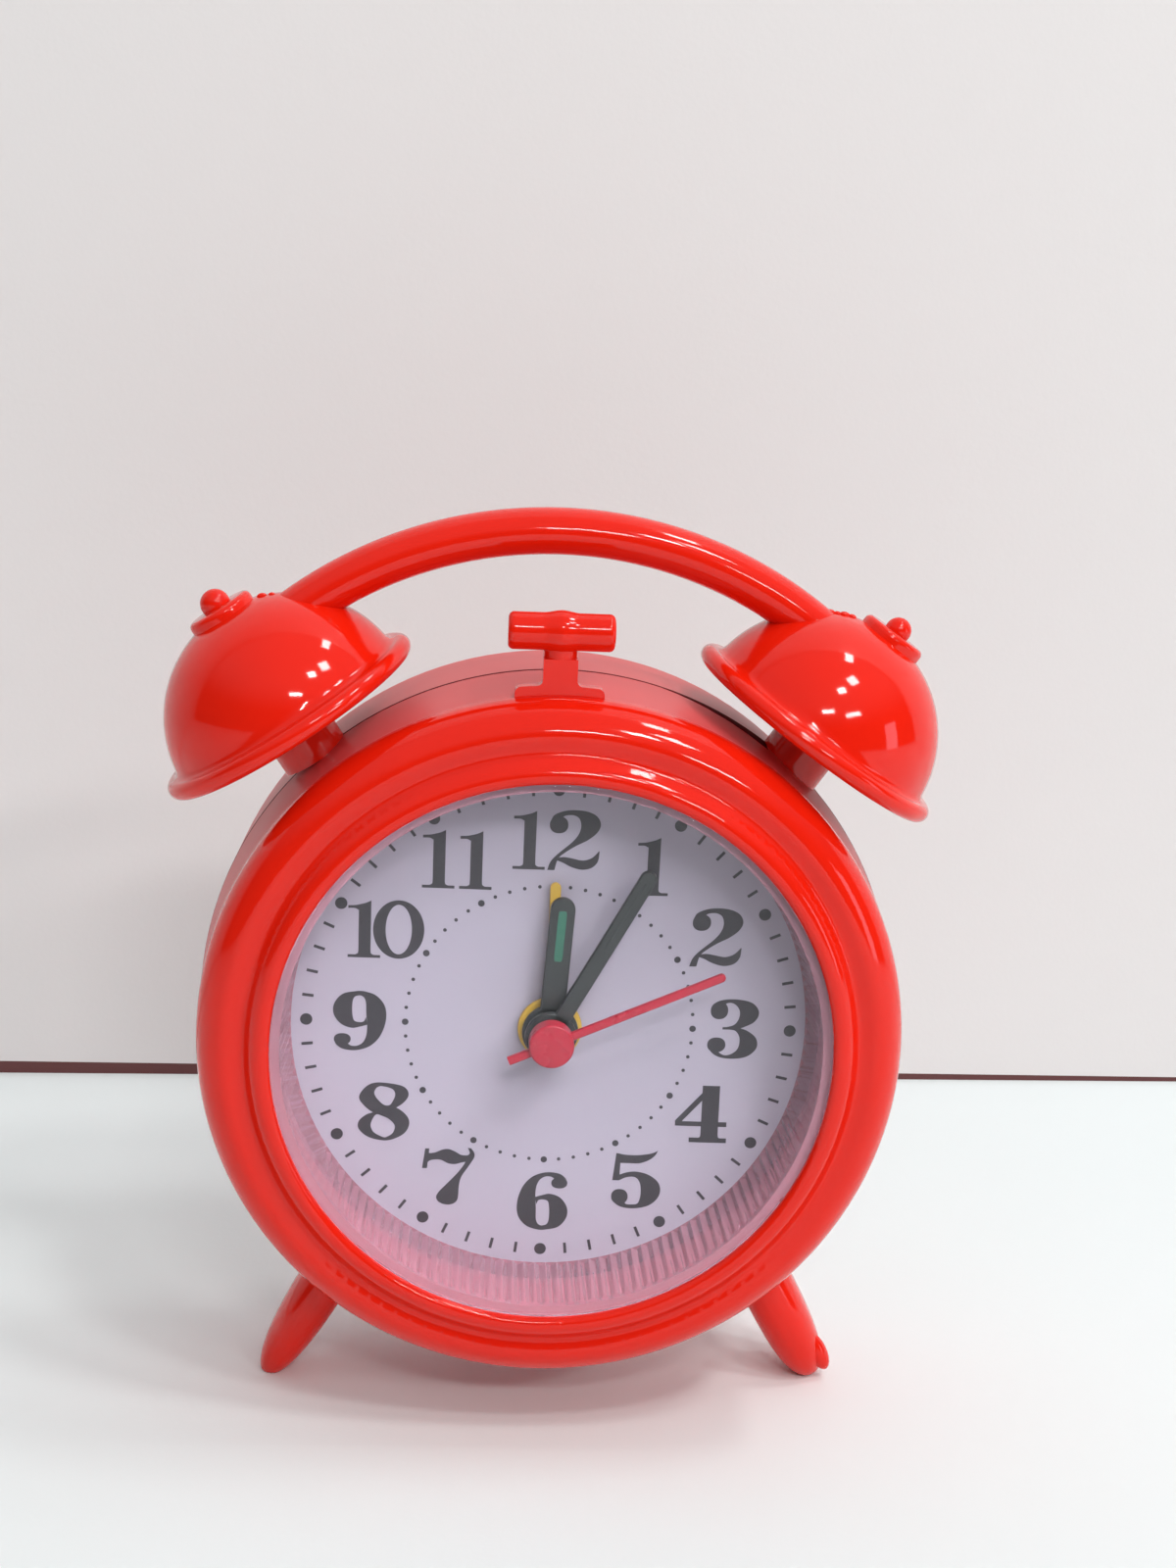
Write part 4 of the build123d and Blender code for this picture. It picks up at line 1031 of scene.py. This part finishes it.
FOUR = Digit(6.35, (
    bar(3.2, 0.0, 5.3, 7.4), bar(0.05, 2.1, 6.3, 2.7), bar(1.8, 0.0, 6.35, 0.6),
    Stroke(((0.0, 2.72, 0.85, 2.7), (3.25, 6.5, 3.25, 5.5), (4.05, 7.4, 4.05, 5.5)), straight=True),
    Stroke(((2.8, 0.55, 5.7, 0.55), (3.12, 0.7, 5.38, 0.7), (3.2, 1.05, 5.3, 1.05)))))
FIVE = Digit(6.05, (
    Stroke(((0.45, 7.2, 1.0, 5.9), (1.5, 7.0, 2.0, 5.9), (3.0, 6.95, 3.3, 5.9), (4.5, 7.15, 4.5, 6.35),
            (5.2, 7.4, 5.25, 7.0), (5.6, 7.65, 5.6, 7.65))),
    Stroke(((0.45, 7.2, 1.0, 7.1), (0.28, 5.4, 1.0, 5.5), (0.1, 3.6, 0.95, 3.6)), straight=True),
    Stroke(((0.85, 4.3, 0.9, 3.6), (1.8, 4.65, 1.7, 4.0), (3.0, 4.8, 2.5, 4.15), (4.5, 4.45, 3.1, 3.95),
            (5.7, 3.55, 3.5, 3.35), (6.05, 2.45, 3.65, 2.45), (5.7, 1.35, 3.6, 1.45),
            (4.7, 0.45, 3.3, 0.65), (3.3, 0.05, 2.6, 0.5), (1.8, 0.05, 1.9, 0.55), (0.7, 0.45, 1.65, 0.9),
            (0.1, 1.25, 1.3, 1.5)))),
    (Ball(1.05, 1.5, 1.03, 0.97),))
SIX = Digit(6.3, (
    Stroke(((6.0, 6.7, 5.2, 6.2), (5.3, 7.3, 4.4, 6.8), (4.2, 7.55, 4.0, 7.0), (3.0, 7.45, 3.3, 6.95),
            (1.75, 6.9, 2.65, 6.45), (0.75, 5.8, 2.3, 5.5), (0.15, 4.3, 2.25, 4.2), (0.0, 2.75, 2.38, 2.75),
            (0.35, 1.5, 2.42, 1.5), (1.3, 0.5, 2.65, 0.85), (2.5, 0.08, 3.0, 0.6), (3.3, 0.0, 3.25, 0.55))),
    Stroke(((2.2, 4.25, 2.4, 3.3), (3.2, 4.55, 2.65, 3.85), (4.1, 4.7, 3.2, 3.97), (5.3, 4.25, 3.8, 3.75),
            (6.1, 3.25, 4.0, 3.0), (6.3, 2.2, 4.05, 2.2), (5.9, 1.15, 4.0, 1.3), (5.0, 0.35, 3.75, 0.75),
            (3.3, 0.0, 3.2, 0.55)))),
    (Ball(5.15, 6.15, 1.0, 0.72),))
SEVEN = Digit(6.4, (
    Stroke(((0.35, 7.3, 0.85, 7.3), (0.2, 6.0, 0.75, 6.0), (0.05, 4.75, 0.65, 4.75)), straight=True),
    Stroke(((0.7, 6.75, 0.55, 5.2), (1.0, 6.7, 0.9, 5.7), (1.6, 6.8, 1.7, 5.9), (2.4, 7.15, 2.4, 5.8),
            (3.15, 7.25, 3.2, 5.4), (3.95, 6.95, 4.0, 5.3), (4.75, 6.5, 4.8, 5.5), (5.5, 6.45, 5.5, 5.65))),
    Stroke(((5.95, 7.4, 5.55, 7.45), (6.35, 6.8, 5.8, 6.75), (6.35, 6.2, 5.4, 6.3), (5.95, 5.45, 5.3, 5.6),
            (5.45, 4.65, 4.75, 4.65), (4.95, 3.85, 4.05, 3.75), (4.7, 3.05, 3.05, 2.65),
            (4.6, 2.15, 2.25, 1.75), (4.55, 0.85, 1.9, 1.05), (4.15, 0.25, 2.15, 0.45),
            (3.45, 0.0, 2.75, 0.1)))))
EIGHT = Digit(6.15, (
    Stroke(((3.0, 7.45, 2.8, 7.0), (5.2, 7.05, 4.0, 6.65), (5.95, 6.15, 4.35, 5.85), (5.6, 5.15, 3.9, 4.75),
            (4.5, 4.25, 3.45, 4.5), (3.0, 3.7, 2.95, 4.65), (1.8, 3.6, 2.4, 5.15), (0.6, 4.55, 2.0, 5.7),
            (0.05, 5.55, 1.85, 6.2), (0.6, 6.65, 2.1, 6.75), (1.6, 7.35, 2.4, 6.95)), loop=True),
    Stroke(((1.8, 3.6, 2.25, 3.35), (3.2, 4.0, 2.9, 3.15), (4.5, 4.25, 3.6, 2.85), (5.8, 3.25, 4.2, 2.3),
            (6.15, 2.15, 4.45, 1.75), (5.6, 0.95, 4.2, 0.95), (4.2, 0.15, 3.6, 0.5), (2.9, 0.0, 3.1, 0.4),
            (1.2, 0.45, 2.0, 0.95), (0.1, 1.45, 1.6, 1.6), (0.1, 2.45, 1.55, 2.15),
            (0.9, 3.25, 1.85, 2.95)), loop=True)))
DIGITS = {"0": ZERO, "1": ONE, "2": TWO, "3": THREE, "4": FOUR, "5": FIVE, "6": SIX, "7": SEVEN,
          "8": EIGHT, "9": half_turn(SIX, 7.5)}


@dataclass
class DialPrint:
    """Ink on the dial: hour numerals, the minute track and the inner ring of dots."""

    ink_t: float = 0.03
    ink_step: float = 0.004
    track_r: float = 29.2
    tick_length: float = 1.35
    tick_width: float = 0.36
    hour_dot_r: float = 0.73
    inner_r: float = 17.5
    inner_dot_r: float = 0.22
    inner_hour_dot_r: float = 0.4
    round_steps: int = 20
    # hour text, then x of each digit's left end and z of the baseline
    numerals: tuple[tuple[str, tuple[float, ...], float], ...] = (
        ("1", (9.65,), 16.65), ("2", (16.6,), 7.95), ("3", (19.35,), -3.75), ("4", (15.95,), -14.75),
        ("5", (8.5,), -23.65), ("6", (-3.1,), -26.75), ("7", (-14.95,), -23.65), ("8", (-22.8,), -15.35),
        ("9", (-26.05,), -3.75), ("10", (-24.45, -21.5), 7.95), ("11", (-15.85, -11.45), 16.85),
        ("12", (-5.2, -1.05), 19.5))

    def flat(self, loop: Array) -> Array:
        """Two rows of a closed loop, from the dial's face to the top of the ink.

        Args:
            loop: Rows of x, z.

        Returns:
            A grid of two rows.
        """
        rows = np.stack([loop, loop])
        depth = np.broadcast_to(np.array([[0.0], [-self.ink_t]]), rows.shape[:2])
        return np.stack([rows[..., 0], depth, rows[..., 1]], -1)

    def strip(self, stroke: Stroke, x: float, z: float, lift: float) -> Array:
        """Section rows of a stroke: face edge, raised edge, raised edge, face edge.

        Args:
            stroke: The stroke.
            x: Left end of the numeral.
            z: Its baseline.
            lift: How much prouder it stands than the first stroke, so that no two faces coincide.

        Returns:
            A grid with one row per step along the stroke.
        """
        edges = stroke.strip() + np.array([x, z, x, z])
        first, second = edges[:, :2], edges[:, 2:]
        top = -self.ink_t - lift
        corners = [(first, 0.0), (first, top), (second, top), (second, 0.0)]
        return np.stack([np.stack([e[:, 0], np.full(len(e), y), e[:, 1]], -1) for e, y in corners], 1)

    def numeral_shape(self) -> Shape:
        """All hour numerals as one shape.

        Returns:
            The shape.
        """
        shape = Shape()
        for text, lefts, base in self.numerals:
            for digit, left in zip((DIGITS[letter] for letter in text), lefts):
                for order, stroke in enumerate(digit.strokes):
                    ends = Ends.JOINED if stroke.loop else Ends.CAPPED
                    grid = self.strip(stroke, left, base, self.ink_step * (order + 1))
                    shape.add_grid(grid, ends, join_columns=True)
                for ball in digit.balls:
                    shape.add_grid(self.flat(ball.loop() + np.array([left, base])), Ends.CAPPED, True)
        return shape

    def track_shape(self) -> Shape:
        """Ticks and dots: each is one small loop, turned to its minute.

        Returns:
            All of them as one shape.
        """
        shape = Shape()
        half_l, half_w = self.tick_length / 2, self.tick_width / 2
        tick = np.array([[half_w, -half_l], [half_w, half_l], [-half_w, half_l], [-half_w, -half_l]])
        big, small, hour = (superellipse(r, r, 2, self.round_steps)
                            for r in (self.hour_dot_r, self.inner_dot_r, self.inner_hour_dot_r))
        for minute in range(60):
            marks = (big, hour) if minute % 5 == 0 else (tick, small)
            for mark, r in zip(marks, (self.track_r, self.inner_r)):
                loop = (mark + [0, r]) @ clock_turn(6 * minute)
                shape.add_grid(self.flat(loop), Ends.CAPPED, True)
        return shape

    def build(self) -> None:
        """Print the dial and dress its plate."""
        dress(DIAL_CARD, "dial")
        for name, shape in (("dial_numerals", self.numeral_shape()), ("dial_track", self.track_shape())):
            shape.build(name, DIAL_INK, Body.CASE, Slot.DIAL, sharp_degrees=0)


# ------------------------------------------------------------------ hands
@dataclass(frozen=True)
class Hand:
    """A moulded hand: a round hub with a bar whose front edges are rounded."""

    node: str
    body: Body
    slot: Slot
    finish: Finish
    length: float
    half_width: float
    hub_r: float
    clockwise: float
    front_y: float
    back_y: float
    bore_r: float
    tail: float = 0.0
    rounding: float = 0.2
    hub_span: Point2 | None = None  # front and back of the hub, where the bar's differ
    hub_rounding: float = 1.4  # in roundings of the bar
    lume: Point3 | None = None  # start, end, half width
    groove: Point3 | None = None
    lume_proud: float = 0.04
    groove_proud: float = 0.06
    sunk: float = 0.1  # how deep a strip is set into the bar
    strip_squareness: float = 8.0

    def hub(self) -> Array:
        """Hub turned about the dial's axis, with a rounded front edge.

        Returns:
            A grid whose columns go round.
        """
        front, back = self.hub_span or (self.front_y, self.back_y)
        turn = np.linspace(0, pi / 2, 6)
        edge = self.rounding * self.hub_rounding
        rim = np.stack([self.hub_r - edge * (1 - np.cos(turn)), front + edge * (1 - np.sin(turn))], -1)
        profile = np.vstack([[[self.hub_r, back]], rim, [[self.bore_r, front], [self.bore_r, back]]])
        return turned(profile, SMALL_STEPS)

    def build(self) -> None:
        """Make the hand in place of its solid, with its fill or groove."""
        outline = round_bar(self.length, self.tail, self.half_width, self.clockwise)
        shape = Shape().add_grid(plate(outline, self.front_y, self.back_y, self.rounding), Ends.CAPPED, True)
        shape.add_grid(self.hub(), Ends.JOINED, True)
        shape.build(f"{self.node}_moulded", self.finish, self.body, self.slot, (self.node,))
        if self.lume:
            self.strip("lume", self.lume, LUME, self.lume_proud)
        if self.groove:
            self.strip("groove", self.groove, self.finish, self.groove_proud)

    def strip(self, kind: str, span: Point3, finish: Finish, proud: float) -> None:
        """Low raised strip along the bar.

        Args:
            kind: Word for the piece's name.
            span: Start and end along the bar, and half width.
            finish: Its finish.
            proud: How far it stands off the bar.
        """
        start, end, half = span
        loop = superellipse(half, (end - start) / 2, self.strip_squareness, 40) + [0, (start + end) / 2]
        loop = loop @ clock_turn(self.clockwise)
        grid = plate(loop, self.front_y - proud, self.front_y + self.sunk, proud)
        Shape().add_grid(grid, Ends.CAPPED, True).build(f"{self.node}_{kind}", finish, self.body, self.slot)


@dataclass
class HandSet:
    """The four hands, from the dial outwards."""

    hands: tuple[Hand, ...] = (
        Hand("alarm_hand", Body.ALARM, Slot.HAND_YELLOW, HAND_YELLOW, 18.3, 0.65, 3.9, 0.0, -1.4, -0.9, 1.5,
             rounding=0.12),
        Hand("hour_hand", Body.HOUR, Slot.HAND_BLACK, HAND_BLACK, 16.95, 1.5, 3.4, 3.4, -2.9, -2.2, 1.0,
             lume=(9.1, 15.4, 0.52)),
        Hand("minute_hand", Body.MINUTE, Slot.HAND_BLACK, HAND_BLACK, 23.6, 1.0, 3.1, 28.4, -4.5, -3.8, 0.5,
             groove=(12.0, 22.0, 0.22)),
        Hand("second_hand", Body.SECOND, Slot.HAND_RED, HAND_RED, 22.2, 0.5, 2.7, 66.0, -7.1, -6.5, 0.0,
             tail=5.5, hub_span=(-7.8, -5.6)))

    def build(self) -> None:
        """Build every hand."""
        for hand in self.hands:
            hand.build()


# ------------------------------------------------------------------ hidden works
@dataclass
class Works:
    """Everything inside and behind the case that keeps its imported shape."""

    made_of: tuple[tuple[Finish, tuple[str, ...]], ...] = (
        (MOVEMENT_PLASTIC, ("movement_front_plate", "movement_middle_plate", "movement_housing")),
        (WHEEL_PLASTIC, ("alarm_wheel", "alarm_pinion", "hour_wheel", "motion_wheel", "minute_tube",
                         "centre_gear", "third_wheel", "second_wheel", "intermediate_wheel", "rotor")),
        (MAGNET, ("rotor_magnet",)), (IRON, ("stator", "quartz_crystal")), (COPPER, ("coil",)),
        (BOARD, ("circuit_board",)), (BUZZER_CASE, ("buzzer",)), (CELL_JACKET, ("battery",)),
        (CONTACT_STEEL, ("contact_positive", "contact_negative")),
        (BACK_BLACK, ("battery_door", "alarm_switch", "time_knob", "alarm_knob")),
        (SCREW_STEEL, ("case_screws",)))

    def build(self) -> None:
        """Dress every one of them."""
        for finish, nodes in self.made_of:
            dress(finish, *nodes)


# ------------------------------------------------------------------ studio
@dataclass(frozen=True)
class Lamp:
    """A soft rectangular lamp some way off in one direction, facing the clock."""

    name: str
    towards: Point3
    width: float
    height: float
    power: float
    distance: float = 1.4
    aim: Point3 = (0.0, 0.0, 0.06)
    colour: Colour = (1.0, 0.98, 0.96)

    def build(self) -> None:
        """Hang the lamp."""
        data = bpy.data.lights.new(self.name, "AREA")
        data.shape = "RECTANGLE"
        data.size, data.size_y = self.width, self.height
        data.energy = self.power
        data.color = self.colour
        lamp = bpy.data.objects.new(self.name, data)
        lamp.visible_transmission = False  # the clear window already lets lamp rays through
        towards = Vector(self.towards).normalized()
        lamp.location = Vector(self.aim) + self.distance * towards
        lamp.rotation_mode = "QUATERNION"
        lamp.rotation_quaternion = (-towards).to_track_quat("-Z", "Y")
        bpy.context.scene.collection.objects.link(lamp)


@dataclass
class Room:
    """World round the set: a pale ceiling over dark walls, and a white backdrop to the eye."""

    walls: float = 0.07
    ceiling: float = 0.52
    ceiling_start: float = 0.25  # upward share of the direction where the ceiling begins
    ceiling_full: float = 0.7
    backdrop: float = 0.9

    def build(self) -> None:
        """Make the world, brighter towards the ceiling, and give the eye its plain backdrop."""
        world = bpy.data.worlds.new("soft_room")
        world.use_nodes = True
        tree = world.node_tree
        place = add_node(tree, "TexCoord").outputs["Generated"]
        upward = add_node(tree, "SeparateXYZ", {0: place}).outputs["Z"]
        ramp = add_node(tree, "MapRange", {
            "Value": upward, "From Min": self.ceiling_start, "From Max": self.ceiling_full,
            "To Min": self.walls, "To Max": self.ceiling}, interpolation_type="SMOOTHSTEP")
        seen = add_node(tree, "Mix", {"Factor": add_node(tree, "LightPath").outputs["Is Camera Ray"],
                                      "A": ramp.outputs["Result"], "B": self.backdrop})
        fill(tree, tree.nodes["Background"], {"Strength": seen.outputs["Result"], "Color": (*WHITE, 1.0)})
        bpy.context.scene.world = world


@dataclass
class Studio:
    """Pale floor, a pale board behind the clock with a dark strip along its foot that is painted shade of
    the gap under it, and the lamps.
    """

    floor_colour: Colour = (0.80, 0.865, 0.875)
    board_colour: Colour = (0.79, 0.775, 0.775)
    # painted shade: dark strip along the board's foot, where the gap under the board is
    board_foot_shade_colour: Colour = (0.13, 0.045, 0.045)
    board_y: float = 0.1051
    board_turn: float = 0.0436  # metres back for each metre to the right
    board_foot_shade_heights: Point2 = (0.0023, 0.0008)
    board_foot_shade_span: float = 0.12
    reach: float = 1.6
    room: Room = field(default_factory=Room)
    lamps: tuple[Lamp, ...] = (
        Lamp("overhead_right", (0.38, 0.02, 0.92), 0.22, 0.13, 2.5),
        Lamp("overhead_front", (0.44, -0.35, 0.83), 0.20, 0.18, 3.5),
        Lamp("overhead_small", (0.30, -0.55, 0.78), 0.16, 0.12, 3.0),
        Lamp("front_bar", (0.10, -0.82, 0.56), 0.26, 0.07, 3.0),
        Lamp("front_right_bar", (0.47, -0.73, 0.49), 0.32, 0.08, 3.0),
        Lamp("right_window", (0.92, -0.37, 0.11), 0.30, 0.45, 1.4, colour=(1.0, 0.82, 0.92)),
    )

    def board_at(self, x: float) -> float:
        """Depth of the board at a place along it."""
        return self.board_y + self.board_turn * x

    def board_foot_shade_height(self, x: float) -> float:
        """Height of the dark strip of painted shade at a place along the board."""
        return float(np.interp(x, [-self.board_foot_shade_span, self.board_foot_shade_span], self.board_foot_shade_heights))

    def sheet(self, name: str, corners: list[Point3], finish: Finish) -> None:
        """Flat stage sheet between four corners.

        Args:
            name: Object name.
            corners: Four points in metres.
            finish: Its finish.
        """
        mesh = bpy.data.meshes.new(name)
        mesh.from_pydata(corners, [], [(0, 1, 2, 3)])
        mesh.materials.append(finish.material())
        sheet = bpy.data.objects.new(name, mesh)
        bpy.context.scene.collection.objects.link(sheet)

    def upright(self, name: str, ends: Point2, feet: Point2, tops: Point2, finish: Finish) -> None:
        """Upright stage sheet along the board.

        Args:
            name: Object name.
            ends: Its left and right end.
            feet: Height of its lower edge at each end.
            tops: Height of its upper edge at each end.
            finish: Its finish.
        """
        low, high = ([(x, self.board_at(x), z) for x, z in zip(ends, heights)] for heights in (feet, tops))
        self.sheet(name, low + high[::-1], finish)

    def build(self) -> None:
        """Lay the floor, stand the board up and light the set."""
        r, span = self.reach, self.board_foot_shade_span
        floor = Finish("studio_floor", self.floor_colour, 0.75, specular=0.25, colour_spread=0.01,
                       mottle_mm=60.0)
        board = OneSidedFinish("studio_board", self.board_colour, 0.7, colour_spread=0.01, mottle_mm=80.0)
        # dark strip of painted shade along the board's foot
        edge = OneSidedFinish("studio_board_foot_shade", self.board_foot_shade_colour, 0.8)
        self.sheet("floor", [(-r, -r, 0), (r, -r, 0), (r, r, 0), (-r, r, 0)], floor)
        for count, ends in enumerate(((-r, -span), (-span, span), (span, r))):
            step = (self.board_foot_shade_height(ends[0]), self.board_foot_shade_height(ends[1]))
            self.upright(f"backdrop_{count}", ends, step, (r, r), board)
            self.upright(f"backdrop_edge_{count}", ends, (0.0, 0.0), step, edge)
        self.room.build()
        for lamp in self.lamps:
            lamp.build()
        bpy.context.scene.view_settings.view_transform = "Standard"


@dataclass
class Viewpoint:
    """The camera, a little above the clock and to its left, placed in dial-frame millimetres."""

    place_mm: Point3 = (-13.68, -277.22, 98.86)
    pitch_down: float = 13.8626
    yaw_right: float = 3.5223
    roll: float = 2.5963
    lens_mm: float = 55.23
    sensor_mm: float = 36.0
    clip_start: float = 0.01

    def build(self) -> None:
        """Set the camera up and make it the scene's own."""
        pitch, yaw, roll = map(radians, (self.pitch_down, self.yaw_right, self.roll))
        ahead = Vector((sin(yaw) * cos(pitch), cos(yaw) * cos(pitch), -sin(pitch)))
        level = Vector((cos(yaw), -sin(yaw), 0))
        upright = level.cross(ahead)
        right = cos(roll) * level + sin(roll) * upright
        up = cos(roll) * upright - sin(roll) * level
        data = bpy.data.cameras.new("viewpoint")
        data.lens, data.sensor_width, data.clip_start = self.lens_mm, self.sensor_mm, self.clip_start
        camera = bpy.data.objects.new("viewpoint", data)
        turn = Matrix((right, up, -ahead)).transposed().to_4x4()
        camera.matrix_world = Matrix.Translation(DIAL.place(np.array(self.place_mm))) @ turn
        bpy.context.scene.collection.objects.link(camera)
        bpy.context.scene.camera = camera


# ------------------------------------------------------------------ assembly
def clear_start_scene() -> None:
    """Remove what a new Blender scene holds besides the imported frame."""
    for left_over in filter(None, map(bpy.data.objects.get, ("Cube", "Light", "Camera"))):
        bpy.data.objects.remove(left_over)


def main() -> None:
    """Build the clock piece by piece, then the studio round it."""
    logging.basicConfig(level=logging.INFO, format="%(name)s: %(message)s")
    clear_start_scene()
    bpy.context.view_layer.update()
    for section in (Case(), Seam(), Bells(), Feet(), Lens(), DialPrint(), HandSet(), Works(), Studio(),
                    Viewpoint()):
        section.build()
        LOG.info("finished %s", type(section).__name__)


if __name__ == "__main__":
    main()
